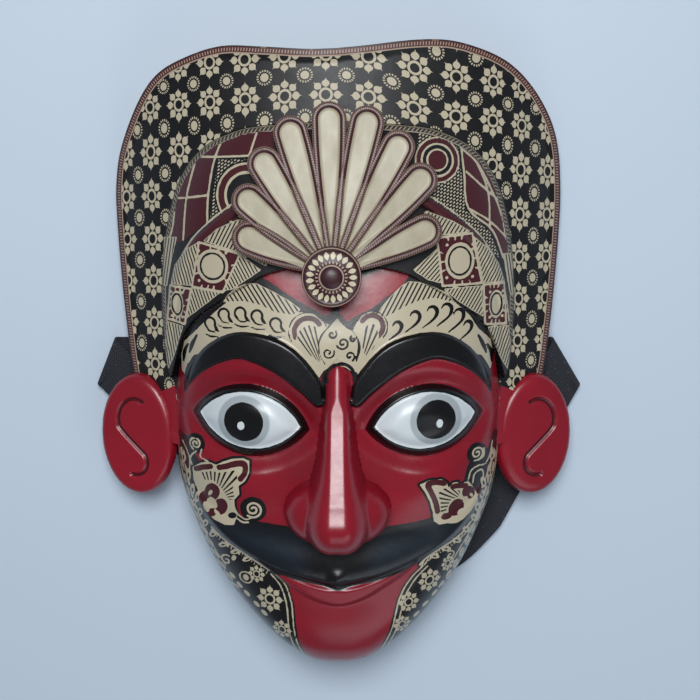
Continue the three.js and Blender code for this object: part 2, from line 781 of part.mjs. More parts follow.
function strapRings() {
  const mirror = (v) => new THREE.Vector3(-v.x, v.y, v.z);
  const left = strapEnd(STRAP_FOLDS.left).map(({ middle, halfWidth, up }) => ({
    middle: mirror(middle),
    halfWidth: mirror(halfWidth),
    up: mirror(up),
  }));
  const right = strapEnd(STRAP_FOLDS.right).reverse();
  const [before, after] = [left[left.length - 1].middle, right[0].middle];
  const stops = [[...before.toArray(), 0], ...STRAP_ROUTE, [...after.toArray(), 0]];
  const route = new THREE.CatmullRomCurve3(stops.map(([x, y, z]) => new THREE.Vector3(x, y, z)));
  const roll = curveThrough(stops.map((stop, i) => [i / (stops.length - 1), degrees(stop[3])]));
  const steps = 24;
  const middle = Array.from({ length: steps - 1 }, (_, i) => {
    const share = (i + 1) / steps;
    const ahead = route.getTangent(share).setZ(0).normalize();
    const side = new THREE.Vector3(-ahead.y, ahead.x, 0);
    const a = roll(share);
    return {
      middle: route.getPoint(share),
      halfWidth: side.clone().multiplyScalar(Math.cos(a)).setZ(Math.sin(a)).multiplyScalar(STRAP.width / 2),
      up: side.clone().multiplyScalar(Math.sin(a)).setZ(-Math.cos(a)).multiplyScalar(STRAP.thickness / 2),
    };
  });
  return [...left, ...middle, ...right];
}

function strapBand() {
  const corner = ({ middle, halfWidth, up }, a, b) =>
    middle.clone().addScaledVector(halfWidth, a).addScaledVector(up, b).toArray();
  const rings = strapRings().map((ring) => [
    corner(ring, 1, 1),
    corner(ring, -1, 1),
    corner(ring, -1, -1),
    corner(ring, 1, -1),
  ]);
  return loft(rings);
}

function named(name, solid, material) {
  const placed = solid.translate([0, -MIDDLE_Y, 0]);
  const mesh = new THREE.Mesh(geometryOf(placed), new THREE.MeshStandardMaterial(material));
  mesh.name = name;
  return mesh;
}

const mask = new THREE.Group();
mask.add(
  named("mask", carvedMask(), { color: 0xa3101e, roughness: 0.35, metalness: 0 }),
  named("strap", strapBand(), { color: 0x17171c, roughness: 0.9, metalness: 0 }),
);

export default mask;
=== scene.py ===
import math

import bpy
import numpy as np
from mathutils import Matrix, Vector


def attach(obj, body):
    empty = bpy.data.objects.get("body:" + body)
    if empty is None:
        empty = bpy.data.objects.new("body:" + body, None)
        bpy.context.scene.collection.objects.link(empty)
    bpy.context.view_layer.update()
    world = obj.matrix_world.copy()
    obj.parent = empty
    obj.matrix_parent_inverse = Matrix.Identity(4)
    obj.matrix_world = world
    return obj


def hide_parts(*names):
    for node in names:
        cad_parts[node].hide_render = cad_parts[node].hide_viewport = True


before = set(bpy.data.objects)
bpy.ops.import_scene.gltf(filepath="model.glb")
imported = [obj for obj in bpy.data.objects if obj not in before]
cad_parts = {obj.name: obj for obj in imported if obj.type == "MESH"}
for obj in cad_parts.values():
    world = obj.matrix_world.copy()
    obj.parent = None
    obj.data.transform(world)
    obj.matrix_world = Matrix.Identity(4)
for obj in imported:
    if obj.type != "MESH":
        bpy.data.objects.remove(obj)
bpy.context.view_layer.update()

# Camera, above the mask as it lies on its back, tilted a little from straight down and seeing the whole
# crown, both ears and the chin. Sizes in this script are in millimetres and go into metres by MM. As in
# the part, they are drawn from a point between the brows and the nose, MIDDLE_Y above the mask's middle.
MM = 0.001
MIDDLE_Y = -6.05
CAMERA = {"place": (5.5, 83.5 - MIDDLE_Y, 619.2), "tilt": -8, "lens": 66.2}
camera_data = bpy.data.cameras.new("camera")
camera_data.lens = CAMERA["lens"]
camera_data.clip_start = 0.05
camera = bpy.data.objects.new("camera", camera_data)
bpy.context.scene.collection.objects.link(camera)
camera.location = Vector(CAMERA["place"]) * MM
camera.rotation_euler = (math.radians(CAMERA["tilt"]), 0, 0)
bpy.context.scene.camera = camera


# Lights: a broad soft panel above the forehead, a dimmer one from the chin's side, and a pale room
def soft_panel(name, place, width, power, colour, shine=1):
    light = bpy.data.lights.new(name, "AREA")
    light.shape = "RECTANGLE"
    light.size, light.size_y = (side * MM for side in width)
    light.energy = power
    light.color = colour
    light.specular_factor = shine
    panel = bpy.data.objects.new(name, light)
    bpy.context.scene.collection.objects.link(panel)
    panel.location = Vector(place) * MM
    panel.rotation_mode = "QUATERNION"
    panel.rotation_quaternion = (-panel.location).to_track_quat("-Z", "Y")


soft_panel("window_panel", (-20, 420, 1000), (420, 420), 10.2, (0.96, 0.98, 1))
soft_panel("fill_panel", (300, -700, 600), (900, 500), 1.8, (0.86, 0.93, 1), 0.35)
room = bpy.data.worlds.new("room")
room.use_nodes = True
room.node_tree.nodes["Background"].inputs["Color"].default_value = (0.74, 0.82, 0.92, 1)
room.node_tree.nodes["Background"].inputs["Strength"].default_value = 0.24
bpy.context.scene.world = room
bpy.context.scene.view_settings.view_transform = "Standard"

# Floor: the plain pale sheet that the mask lies on
bpy.ops.object.select_all(action="DESELECT")
bpy.ops.mesh.primitive_plane_add(size=6)
floor = bpy.context.object
floor.name = "floor"
floor_paper = bpy.data.materials.new("floor_paper")
floor_paper.use_nodes = True
floor_paper.node_tree.nodes["Principled BSDF"].inputs["Base Color"].default_value = (0.48, 0.56, 0.65, 1)
floor_paper.node_tree.nodes["Principled BSDF"].inputs["Roughness"].default_value = 0.6
floor.data.materials.append(floor_paper)


# Mask body: crown, cap and face, carved from one block of light wood about 9 mm thick and hollow behind.
# The crown is an arch that is open at its top; the cap is a dome on it, and the face stands out below.
# The front is lacquered, and the back is bare wood.
CROWN = {"height": 52, "radius": 145, "wall": 9, "border": 4.4, "border_height": 1}
CROWN_TOP_RIGHT = [
    (0, 135.1), (13, 136.4), (34, 139), (49, 139.2), (62.5, 136.4), (74, 132.1), (83, 126), (91.5, 117),
    (99, 105), (103, 92),
]
CROWN_TOP_LEFT = [
    (0, 135.1), (13, 134.8), (32, 136), (50.5, 136.8), (67, 132.8), (81.5, 125.8), (92, 113),
    (101.5, 92.5),
]
CROWN_SIDE = [(104.5, 76), (104.5, 62), (103, 38), (100.5, 12), (97, -13), (91, -30), (82, -41)]
JAW_EDGE = [
    (76.4, -43.5), (75, -56), (72.5, -67.5), (68.5, -79), (64, -90), (59, -100.5), (52.5, -111),
    (45.5, -120), (38, -128.5), (31, -135.4), (24, -141.4), (16, -147), (8, -150.3), (0, -151.5),
]
TEMPLE_EDGE = [(76, -44), (76, 10), (70, 40), (45, 64), (0, 70)]
FACE_PROFILE = [
    (-153.5, 0), (-151.5, 20), (-148.5, 33), (-143, 43.5), (-134, 51.5), (-124, 55), (-112, 56.5),
    (-104, 58), (-92, 60.5), (-75, 63), (-55, 65), (-30, 67), (-10, 69.5), (5, 70), (20, 68.5), (44, 65),
    (70, 58),
]
CAP_TOP = [(0, 104), (34, 102), (46, 99.5), (58, 94), (67, 85.5), (74, 72), (79, 51), (81, 28), (80.5, 8)]
CAP_BROW = [
    (79, -6), (76, -12), (73, -4), (69, 8), (63, 16.5), (57, 21.5), (47, 28), (33, 36.5), (20, 40.5),
]
CAP_EDGE = [*CAP_TOP, *CAP_BROW, (0, 44)]
CAP_ROLL = [
    (30, 74, 2.6), (42, 67, 2.6), (54, 58.5, 2.6), (64, 49, 2.6), (71.5, 36, 2.6), (76, 20, 2.6),
    (78, 4, 2),
]
EYE = {
    "inner": (12.2, -29.8), "outer": (65.7, -24.8), "upper": 17.6, "lower": 15.2, "lid": 3.2,
    "lower_lid": 4.4,
}
BROW = [
    (68.5, -13.5, 0.6), (63, -4.5, 2.8), (54, 3.5, 4.8), (41.5, 7.6, 6), (25.5, 3, 6.9), (13, -8, 5.4),
    (8.2, -16.2, 2.9),
]
MOUSTACHE = [
    (66.5, -59.5, 0.8), (60, -68.5, 4), (50, -76.2, 6.8), (36, -82, 9.4), (19, -86.8, 11.6),
    (9, -89.3, 12), (0, -91, 12),
]
MOUSTACHE_DIP = [(14, -97.4, 2.2), (7, -99.8, 2.1), (0, -102.4, 1.8)]
MOUSTACHE_MIDDLE = sorted((x, y) for x, y, _ in MOUSTACHE)
LIPS = [(36, -91, 0.5), (27, -97, 2), (18, -102, 3.2), (9, -106.2, 4.2), (0, -108, 4.8)]
NOSE_BRIDGE = [
    (-76, 16, 22), (-70, 17, 27), (-61, 15.5, 27), (-53, 12.5, 24.5), (-42, 9.6, 19.5), (-30, 7.8, 14),
    (-18, 6.4, 9), (-10, 5.8, 6), (-5, 5.2, 4.4), (-1, 3.6, 3), (2, 1.5, 1),
]
NOSE_BALLS = [((0, -66, 66), (23.6, 15.5, 18)), ((0, -68, 70), (14.5, 15.2, 25))]
HOLLOW_PROFILE = [
    (-143, 14), (-139, 26), (-131, 38), (-116, 46), (-90, 51), (-60, 54), (0, 57), (35, 57), (62, 54),
    (88, 46), (104, 36),
]
HOLLOW_EDGE = [
    (0, -142.5), (9, -141), (17.5, -136.8), (26, -130), (34, -121), (42.5, -109), (50, -96.5), (57, -83),
    (62.5, -69), (66.5, -56), (71, -45), (78, -36), (86, -24), (91, -8), (94, 14), (95.5, 40), (96, 70),
    (97.5, 86), (101, 98), (110, 108), (112, 150), (0, 160),
]
STRAP_GAP = {"height": 6.5, "from": -118, "to": 24, "slope": 10}


def curve_through(points):
    """A smooth function through points (t, value), which never overshoots them."""
    t, v = (np.array(column, float) for column in zip(*points))
    h = np.diff(t)
    steep = np.diff(v) / h
    slope = np.concatenate([steep[:1], np.zeros(len(t) - 2), steep[-1:]])
    both = steep[:-1] * steep[1:]
    turning = both > 0
    slope[1:-1][turning] = 2 * both[turning] / (steep[:-1] + steep[1:])[turning]

    def value(at):
        at = np.clip(at, t[0], t[-1])
        i = np.clip(np.searchsorted(t, at, side="right") - 1, 0, len(t) - 2)
        s = (at - t[i]) / h[i]
        start = v[i] * (1 + 2 * s) * (1 - s) ** 2 + slope[i] * h[i] * s * (1 - s) ** 2
        return start + v[i + 1] * s**2 * (3 - 2 * s) + slope[i + 1] * h[i] * s**2 * (s - 1)

    return value


def spline(points, steps=6):
    """Points along a smooth line, with any further values carried along."""
    p = np.array(points, float)
    p = np.vstack([2 * p[0] - p[1], p, 2 * p[-1] - p[-2]])
    s = np.linspace(0, 1, steps, endpoint=False)[:, None]
    parts = []
    for a, b, c, d in zip(p[:-3], p[1:-2], p[2:-1], p[3:]):
        cubic = (3 * b - a - 3 * c + d) * s**3
        parts.append((2 * b + (c - a) * s + (2 * a - 5 * b + 4 * c - d) * s**2 + cubic) / 2)
    return np.vstack([*parts, p[-2:-1]])


def whole(right, left=None):
    """A closed outline from its right half and its left one, which is given as if it were at the right."""
    left = (right if left is None else left)[::-1] * (-1, 1)
    return np.vstack([right, left[left[:, 0] < -1e-6]])


def to_edge(x, y, outline):
    """How far each point is inside a closed outline; negative outside it."""
    nearest = np.full(x.shape, np.inf)
    inside = np.zeros(x.shape, bool)
    for (ax, ay), (bx, by) in zip(outline, np.roll(outline, -1, axis=0)):
        dx, dy = bx - ax, by - ay
        share = np.clip(((x - ax) * dx + (y - ay) * dy) / (dx * dx + dy * dy + 1e-12), 0, 1)
        nearest = np.minimum(nearest, (x - ax - share * dx) ** 2 + (y - ay - share * dy) ** 2)
        if ay != by:
            inside ^= ((ay > y) != (by > y)) & (x < ax + (y - ay) / (by - ay) * dx)
    return np.where(inside, 1, -1) * np.sqrt(nearest)


def to_stroke(x, y, stroke):
    """How far each point is outside a stroke of (x, y, half-width); negative inside it."""
    best = np.full(x.shape, np.inf)
    for (ax, ay, aw), (bx, by, bw) in zip(stroke[:-1], stroke[1:]):
        dx, dy = bx - ax, by - ay
        share = np.clip(((x - ax) * dx + (y - ay) * dy) / (dx * dx + dy * dy + 1e-12), 0, 1)
        across = np.hypot(x - ax - share * dx, y - ay - share * dy)
        best = np.minimum(best, across - aw - share * (bw - aw))
    return best


def both_sides(stroke):
    other = [(-x, *rest) for x, *rest in stroke[:-1]][::-1]
    return spline([*stroke, *other])


def ease(t):
    t = np.clip(t, 0, 1)
    return t * t * (3 - 2 * t)


def to_moustache(x, y):
    return np.minimum(to_stroke(x, y, both_sides(MOUSTACHE)), to_stroke(x, y, both_sides(MOUSTACHE_DIP)))


def soft_max(a, b, blend):
    over = np.clip(0.5 + (a - b) / (2 * blend), 0, 1)
    return b + (a - b) * over + blend * over * (1 - over)


crown_halves = [[*top, *CROWN_SIDE] for top in (CROWN_TOP_RIGHT, CROWN_TOP_LEFT)]
crown_outline = whole(*(spline([*half, (66, -46)]) for half in crown_halves))
jaw = spline([(82, -41), *JAW_EDGE])
body_outline = whole(*(np.vstack([spline(half)[:-1], jaw]) for half in crown_halves))
cap_outline = whole(spline(CAP_EDGE))
face_outline = whole(spline([*JAW_EDGE[::-1], *TEMPLE_EDGE]))
hollow_outline = whole(spline(HOLLOW_EDGE))
face_half_width = curve_through([(y, x) for x, y in [*JAW_EDGE[:0:-1], (76, -44), (76, 10)]])
face_profile = curve_through(FACE_PROFILE)
hollow_profile = curve_through(HOLLOW_PROFILE)


def crown_arch(x):
    across = np.minimum(np.abs(x), 115)
    return CROWN["height"] - CROWN["radius"] + np.sqrt(CROWN["radius"] ** 2 - across**2)


def eye_discs():
    inner, outer = np.array(EYE["inner"]), np.array(EYE["outer"])
    half = np.linalg.norm(outer - inner) / 2
    along = (outer - inner) / (2 * half)
    up = np.array([-along[1], along[0]])
    discs = []
    for bulge, side in ((EYE["upper"], 1), (EYE["lower"], -1)):
        radius = (half**2 + bulge**2) / (2 * bulge)
        discs.append(((inner + outer) / 2 + up * side * (bulge - radius), radius))
    return discs


def to_eye(x, y):
    (c1, r1), (c2, r2) = eye_discs()
    upper = np.hypot(np.abs(x) - c1[0], y - c1[1]) - r1
    return np.maximum(upper, np.hypot(np.abs(x) - c2[0], y - c2[1]) - r2)


def to_eyeball(x, y):
    _, (centre, radius) = eye_discs()
    under_lower_lid = np.hypot(np.abs(x) - centre[0], y - centre[1]) - radius
    return np.maximum(to_eye(x, y) + EYE["lid"], under_lower_lid + EYE["lower_lid"])


def cap_height(x, y):
    share = ((np.abs(x) / 82) ** 3 + (np.maximum(0, y - 20) / 86) ** 3) ** (1 / 3)
    height = crown_arch(x) + 3.5 + 16 * (1 - np.minimum(1, share) ** 5.8)
    roll = to_stroke(np.abs(x), y, spline(CAP_ROLL))
    return height + 1.9 * np.sqrt(ease((0.3 - roll) / 2.8))


def nose_height(x, y, base):
    at = curve_through([(y, half) for y, half, _ in NOSE_BRIDGE])(y)
    rise = curve_through([(y, height) for y, _, height in NOSE_BRIDGE])(y)
    ridge = 2.5 * ease((-13 - y) / 8)
    beside = np.maximum(np.abs(x) - ridge, 0)
    across = np.clip(beside / (at - ridge), 0, 1)
    top = base - 3 + (rise + 3) * (1 - across**2) ** 0.5
    top = np.where((across < 1) & (y > -76) & (y < 2), top, base - 9)
    for centre, radii in NOSE_BALLS:
        reach = 1 - (beside / (radii[0] - ridge)) ** 2 - ((y - centre[1]) / radii[1]) ** 2
        ball = centre[2] + radii[2] * np.sqrt(np.clip(reach, 0, 1))
        top = soft_max(top, np.where(reach > 0, ball, base - 9), 4)
    return top


def skin_height(x, y):
    across = np.minimum(1, np.abs(x) / (face_half_width(y) + 1.5))
    z = face_profile(y) * (1 - across**2.8) ** (1 / 2.9)
    z += 2.5 * ease(1 - np.hypot(np.abs(x) - 43, y + 58) / 24)
    eye = to_eye(x, y)
    z -= 3.5 * ease(1 - np.maximum(eye, 0) / 8)
    z += 8 * np.sin(np.clip(-eye / 13, 0, 1) * math.pi / 2)
    z += 1.4 * ease(-eye / 1.6) * ease((to_eyeball(x, y) + 0.8) / 1.6)
    brow = to_stroke(np.abs(x), y, spline(BROW))
    z += 2.2 * ease((0.5 - brow) / 2)
    moustache = to_moustache(x, y)
    below = ease((curve_through(MOUSTACHE_MIDDLE)(np.abs(x)) + 9 - y) / 16)
    z += 3.2 * ease((1 - moustache) / 4.5) * below
    z += 1.6 * ease(1 - np.hypot(x, y + 98.5) / 5.5)
    lips = to_stroke(x, y, both_sides(LIPS))
    return z + 2.6 * ease((0.8 - lips) / 3)


def face_height(x, y):
    skin = skin_height(x, y)
    return soft_max(skin, nose_height(x, y, skin), 2.4)


def front_height(x, y):
    z = crown_arch(x)
    from_edge = to_edge(x, y, crown_outline)
    z += CROWN["border_height"] * ease((CROWN["border"] - from_edge) / 0.8 + 0.5)
    cap = to_edge(x, y, cap_outline)
    z += np.maximum(0, cap_height(x, y) - z) * ease((cap + 0.4) / 1.6)
    face = to_edge(x, y, face_outline)
    near = face > -0.5
    z[near] = np.where(from_edge[near] > 0, np.maximum(z[near], 0), 0)
    z[near] = np.maximum(z[near], face_height(x[near], y[near]))
    return z


def back_height(x, y):
    half = np.maximum(1, face_half_width(np.minimum(y, 0)) - CROWN["wall"] / 2)
    across = np.minimum(1, np.abs(x) / half)
    behind_face = hollow_profile(y) * (1 - across**2.8) ** (1 / 2.6)
    under_wings = (crown_arch(x) - CROWN["wall"]) * ease((y + 62) / 14)
    hollow = np.maximum(behind_face, under_wings)
    gap, slope = STRAP_GAP["height"], STRAP_GAP["slope"]
    rising = (y - STRAP_GAP["from"] + slope) / slope
    falling = (STRAP_GAP["to"] + slope - y) / slope
    rim = gap * np.clip(np.minimum(rising, falling), 0, 1)
    inside = ease((to_edge(x, y, hollow_outline) + 0.6) / 2.4)
    return rim + np.maximum(hollow - rim, 0) * inside


def keep_values(piece, name, values):
    """Keeps a value for each vertex of a piece, for its finish to read."""
    kept = piece.data.attributes.new(name, "FLOAT", "POINT")
    kept.data.foreach_set("value", values.astype(np.float32))


def vertex_places(piece):
    flat = np.empty(len(piece.data.vertices) * 3)
    piece.data.vertices.foreach_get("co", flat)
    return flat.reshape(-1, 3) / MM


def carved_board(name, outline, cell, front, back, finer=()):
    """A closed board cut to an outline out of a square grid, then carved to a front and a back height.

    Each of finer is a function of x and y that tells where the front's squares are halved once more.
    """
    low, high = outline.min(axis=0), outline.max(axis=0)
    count = int(math.ceil((high - low).max() / cell)) + 2
    middle = (low + high) / 2
    bpy.ops.object.select_all(action="DESELECT")
    bpy.ops.mesh.primitive_grid_add(x_subdivisions=count, y_subdivisions=count, size=count * cell)
    board = bpy.context.object
    board.name = board.data.name = name
    mesh = board.data

    def points():
        flat = np.empty(len(mesh.vertices) * 3)
        mesh.vertices.foreach_get("co", flat)
        return flat.reshape(-1, 3)

    def select_faces(chosen):
        bpy.ops.object.mode_set(mode="OBJECT")
        mesh.vertices.foreach_set("select", np.zeros(len(mesh.vertices), bool))
        mesh.edges.foreach_set("select", np.zeros(len(mesh.edges), bool))
        mesh.polygons.foreach_set("select", chosen)
        bpy.ops.object.mode_set(mode="EDIT")

    def face_centres():
        flat = np.empty(len(mesh.polygons) * 3)
        mesh.polygons.foreach_get("center", flat)
        return flat.reshape(-1, 3)

    bpy.ops.object.mode_set(mode="EDIT")
    bpy.ops.mesh.select_mode(type="FACE")
    bpy.ops.object.mode_set(mode="OBJECT")
    place = points() + (*middle, 0)
    mesh.vertices.foreach_set("co", place.ravel())
    inside = to_edge(place[:, 0], place[:, 1], outline)
    corners = np.array([polygon.vertices[:] for polygon in mesh.polygons])
    select_faces(inside[corners].max(axis=1) <= 0.15 * cell)
    bpy.ops.mesh.delete(type="FACE")
    bpy.ops.object.mode_set(mode="OBJECT")
    place = points()
    inside = to_edge(place[:, 0], place[:, 1], outline)
    steps = np.roll(outline, -1, axis=0) - outline
    for i in np.where(inside < 0.15 * cell)[0]:
        away = place[i, :2] - outline
        share = np.clip((away * steps).sum(axis=1) / ((steps**2).sum(axis=1) + 1e-12), 0, 1)
        nearest = outline + steps * share[:, None]
        best = np.argmin(((place[i, :2] - nearest) ** 2).sum(axis=1))
        place[i, :2] = nearest[best]
    mesh.vertices.foreach_set("co", place.ravel())
    bpy.ops.object.mode_set(mode="EDIT")
    bpy.ops.mesh.select_all(action="SELECT")
    bpy.ops.mesh.remove_doubles(threshold=0.12 * cell)
    bpy.ops.mesh.dissolve_degenerate(threshold=0.02 * cell)
    bpy.ops.mesh.extrude_region_move(TRANSFORM_OT_translate={"value": (0, 0, 9)})
    bpy.ops.mesh.select_all(action="SELECT")
    bpy.ops.mesh.normals_make_consistent(inside=False)
    for where in finer:
        bpy.ops.object.mode_set(mode="OBJECT")
        centre = face_centres()
        normals = np.empty(len(mesh.polygons) * 3)
        mesh.polygons.foreach_get("normal", normals)
        faces_up = normals.reshape(-1, 3)[:, 2] > 0.7
        chosen = np.zeros(len(faces_up), bool)
        chosen[faces_up] = where(centre[faces_up, 0], centre[faces_up, 1])
        select_faces(chosen)
        bpy.ops.mesh.subdivide(number_cuts=1)
    bpy.ops.mesh.select_all(action="DESELECT")
    bpy.ops.object.mode_set(mode="OBJECT")
    place = points()
    top = place[:, 2] > 4.5
    place[top, 2] = front(place[top, 0], place[top, 1])
    place[~top, 2] = np.minimum(back(place[~top, 0], place[~top, 1]), 200)
    mesh.vertices.foreach_set("co", place.ravel() * MM)
    keep_values(board, "front", top)
    mesh.update()
    return board


def carved_detail(x, y):
    """Where the front needs squares half as large as the crown's."""
    in_face = to_edge(x, y, face_outline) > -1.5
    in_cap = to_edge(x, y, cap_outline) > -2.5
    by_edge = to_edge(x, y, crown_outline) < 6.5
    return in_face | in_cap | by_edge


def drawn_detail(x, y):
    """Where lines are drawn, or steps are sharp, and the squares are halved once more."""
    side = np.abs(x)
    cap = to_edge(x, y, cap_outline)
    under_fan = np.hypot(x + 2.2, y - 38.9) < 40
    in_cap = (np.abs(cap) < 2.2) | (cap > 0) & ~(under_fan & (y > 42))
    in_brow_panel = (y > 0) & (y < 44) & (to_edge(x, y, face_outline) > -1)
    eyes = np.abs(to_eye(x, y) + 1.5) < 3
    brows = np.abs(to_stroke(side, y, spline(BROW))) < 1.6
    moustache = np.abs(to_moustache(x, y)) < 1.8
    lips = to_stroke(x, y, both_sides(LIPS)) < 1.4
    nose = (side < 26) & (y < -48) & (y > -84) | (side < 11) & (y < 0) & (y > -49)
    cheeks = (side > 32) & (y < -37) & (y > -90) & (to_edge(x, y, face_outline) > -1)
    jaws = (side > 14) & (y <= -88) & (to_edge(x, y, face_outline) > -1)
    return in_cap | in_brow_panel | eyes | brows | moustache | lips | nose | cheeks | jaws


body = carved_board(
    "mask_body", body_outline, 2.4, front_height, back_height, (carved_detail, drawn_detail),
)
body.data.shade_smooth()
bpy.ops.object.shade_smooth_by_angle(angle=math.radians(50))


class Drawing:
    """Line-work on a piece. For every vertex, each paint keeps how far outside its nearest edge it is."""

    FAR = 6

    def __init__(self, piece, paints):
        self.piece = piece
        place = vertex_places(piece)
        self.x, self.y = place[:, 0], place[:, 1]
        self.paints = {paint: np.full(len(self.x), float(self.FAR)) for paint in paints}

    def near(self, points, grow):
        low, high = np.min(points, axis=0)[:2] - grow, np.max(points, axis=0)[:2] + grow
        return (self.x > low[0]) & (self.x < high[0]) & (self.y > low[1]) & (self.y < high[1])

    def lay(self, paint, outside, points=None, grow=3):
        """Lays a paint where outside(x, y) is negative; points are the corners of what it covers."""
        near = np.ones(len(self.x), bool) if points is None else self.near(points, grow)
        values = self.paints[paint]
        values[near] = np.minimum(values[near], outside(self.x[near], self.y[near]))

    def keep_off(self, paint, inside):
        """Takes a paint off where inside(x, y) is positive."""
        self.paints[paint] = np.maximum(self.paints[paint], inside(self.x, self.y))

    def stroke(self, paint, points, half=None, smooth=True):
        """A line of one half-width, or of (x, y, half-width) points where half is None."""
        line = np.array(points if half is None else [(*p, half) for p in points], float)
        line = spline(line, 5) if smooth and len(line) > 2 else line
        self.lay(paint, lambda x, y: to_stroke(x, y, line), line)

    def shape(self, paint, points, grow=0, smooth=False):
        """A closed shape, with straight or rounded sides."""
        line = np.array(points, float)
        line = spline([*line, line[0]], 5)[:-1] if smooth else line
        self.lay(paint, lambda x, y: -to_edge(x, y, line) - grow, line, 3 + grow)

    def disc(self, paint, centre, radius, flat=1, turn=0):
        """A disc, or an oval that is flat times as wide as it is long, turned by some degrees."""
        a = math.radians(turn)

        def outside(x, y):
            along = (x - centre[0]) * math.sin(a) + (y - centre[1]) * math.cos(a)
            across = (x - centre[0]) * math.cos(a) - (y - centre[1]) * math.sin(a)
            return (np.hypot(across / flat, along) - radius) * flat

        self.lay(paint, outside, [np.array(centre) - radius, np.array(centre) + radius])

    def arc(self, paint, centre, radius, half, first=0, last=360, flat=1):
        """Part of a ring, from one direction to another in degrees from +X."""
        turn = np.radians(np.linspace(first, last, max(5, int(abs(last - first) / 20))))
        x, y = centre[0] + flat * radius * np.cos(turn), centre[1] + radius * np.sin(turn)
        self.stroke(paint, list(zip(x, y)), half)

    def spiral(self, paint, centre, radius, half, first=0, turns=1.5):
        """A curl from its rim in to its middle; turns is negative where it runs clockwise."""
        share = np.linspace(0, 1, int(abs(turns) * 12) + 2)
        turn = math.radians(first) + turns * 2 * math.pi * share
        reach = radius * (1 - 0.85 * share)
        points = zip(centre[0] + reach * np.cos(turn), centre[1] + reach * np.sin(turn))
        self.stroke(paint, list(points), half)

    def fringe(self, paint, feet, tips, count, foot_half, tip_half):
        """Tapering strokes from one line to another, like a feather's."""
        feet, tips = (spline(line, 8) if len(line) > 2 else np.array(line, float) for line in (feet, tips))
        for share in (np.arange(count) + 0.5) / count:
            foot, tip = (
                np.array([np.interp(share * (len(line) - 1), range(len(line)), line[:, i]) for i in (0, 1)])
                for line in (feet, tips)
            )
            middle = (*((foot + tip) / 2), (foot_half + tip_half) / 2)
            self.stroke(paint, [(*foot, foot_half), middle, (*tip, tip_half)])

    def hatched(self, points, direction, pitch, hub=None):
        """A shape that the finish fills with thin lines, in one direction or out from a hub, in degrees."""
        line = np.array(points, float)
        self.shape("cream", line)
        self.shape("hatching", line)
        near = self.near(line, 1.5)
        x, y = self.x[near], self.y[near]
        inside = to_edge(x, y, line) > -0.9
        a = math.radians(direction + 90)
        if hub:
            lines = np.degrees(np.arctan2(y - hub[1], x - hub[0])) % 360 / pitch
        else:
            lines = (x * math.cos(a) + y * math.sin(a)) / pitch
        self.paints["hatch_lines"][np.where(near)[0][inside]] = lines[inside]

    def outlined(self, points, half, inside):
        """A closed cream outline, filled with another paint."""
        self.shape(inside, points)
        self.stroke("cream", [*points, points[0]], half, smooth=False)

    def store(self):
        for paint, values in self.paints.items():
            keep_values(self.piece, paint, values)


def along_edge(x, y, halves):
    """How far along an outline the nearest place is, from its top middle, and how far away it is."""
    along, away = np.zeros(x.shape), np.full(x.shape, np.inf)
    for side, half in zip((1, -1), halves):
        travelled = 0
        for (ax, ay), (bx, by) in zip(half[:-1], half[1:]):
            dx, dy = (bx - ax) * side, by - ay
            length = math.hypot(dx, dy)
            share = np.clip(((x - ax * side) * dx + (y - ay) * dy) / length**2, 0, 1)
            distance = np.hypot(x - ax * side - share * dx, y - ay - share * dy)
            closer = distance < away
            away[closer] = distance[closer]
            along[closer] = side * (travelled + share[closer] * length)
            travelled += length
    return along, away


FLOWER_PITCH = 18.7
FLOWER_REACH = 7.3
FLOWER_GROUND = 11
CAP_BORDER = 2.9
PAINTS = [
    "black", "painted_moustache_sheen", "maroon", "cream", "brown", "leaf", "ink", "white", "grey", "pupil", "red", "spark",
]
paints = Drawing(body, [*PAINTS, "dashes", "hatching", "flowers"])
px, py = paints.x, paints.y
paints.paints["hatch_lines"] = np.zeros(len(px))
from_face = to_edge(px, py, face_outline)
from_cap = to_edge(px, py, cap_outline)
from_crown = to_edge(px, py, crown_outline)


def is_face_at(x, y):
    return (front_height(x, y) - face_height(x, y) < 0.05) & (to_edge(x, y, face_outline) > 0)


is_face = front_height(px, py) - face_height(px, py) < 0.05
paints.paints["black"] = np.where((from_face > 0) & (from_cap < 0) & is_face, 3.0, -6.0)
paints.paints["black"] = np.where((from_crown < 0) & (from_face > -3), 3.0, paints.paints["black"])

# The crown's star flowers stand in rows and columns that droop towards the right shoulder: where each
# column stands along the arch, each row along the crown, and how far the rows droop along the arch
COLUMNS = [-127, -109, -91.5, -74.5, -58, -41, -23, -5, 13.5, 34, 53.5, 72.5, 89, 107, 125]
ROWS = [167, 148, 129, 112, 92, 72, 52.5, 33, 13.5, -6, -25, -44, -63]
DROOP = [
    (-110, 1.5), (-75, 0), (-40, -1.8), (-5, -3.5), (14, -2.5), (34, 2), (54, 5.5), (73, 7), (90, 9),
    (108, 9.5),
]
arc_x = CROWN["radius"] * np.arcsin(np.clip(px / CROWN["radius"], -1, 1))
paints.paints["column"] = curve_through([(x, i - 7) for i, x in enumerate(COLUMNS)])(arc_x)
row_y = py + curve_through(DROOP)(arc_x)
paints.paints["row"] = curve_through([(-y, i - 1) for i, y in enumerate(ROWS)])(-row_y)
on_face = np.where(is_face & (from_face > 0), 3, -6)
paints.paints["flowers"] = np.maximum(np.maximum(from_cap + 0.3, 3.4 - from_crown), on_face)
along, away = along_edge(px, py, [spline(half) for half in crown_halves])
paints.paints["rim"], paints.paints["rim_along"] = away, along
along, away = along_edge(px, py, [spline(CAP_TOP)] * 2)
cap_edge = np.where(from_cap > 0, away, -away)
paints.paints["cap_rim"], paints.paints["cap_along"] = cap_edge, along
along, _ = along_edge(px, py, [spline(JAW_EDGE)] * 2)
paints.paints["jaw_rim"], paints.paints["jaw_along"] = from_face, along
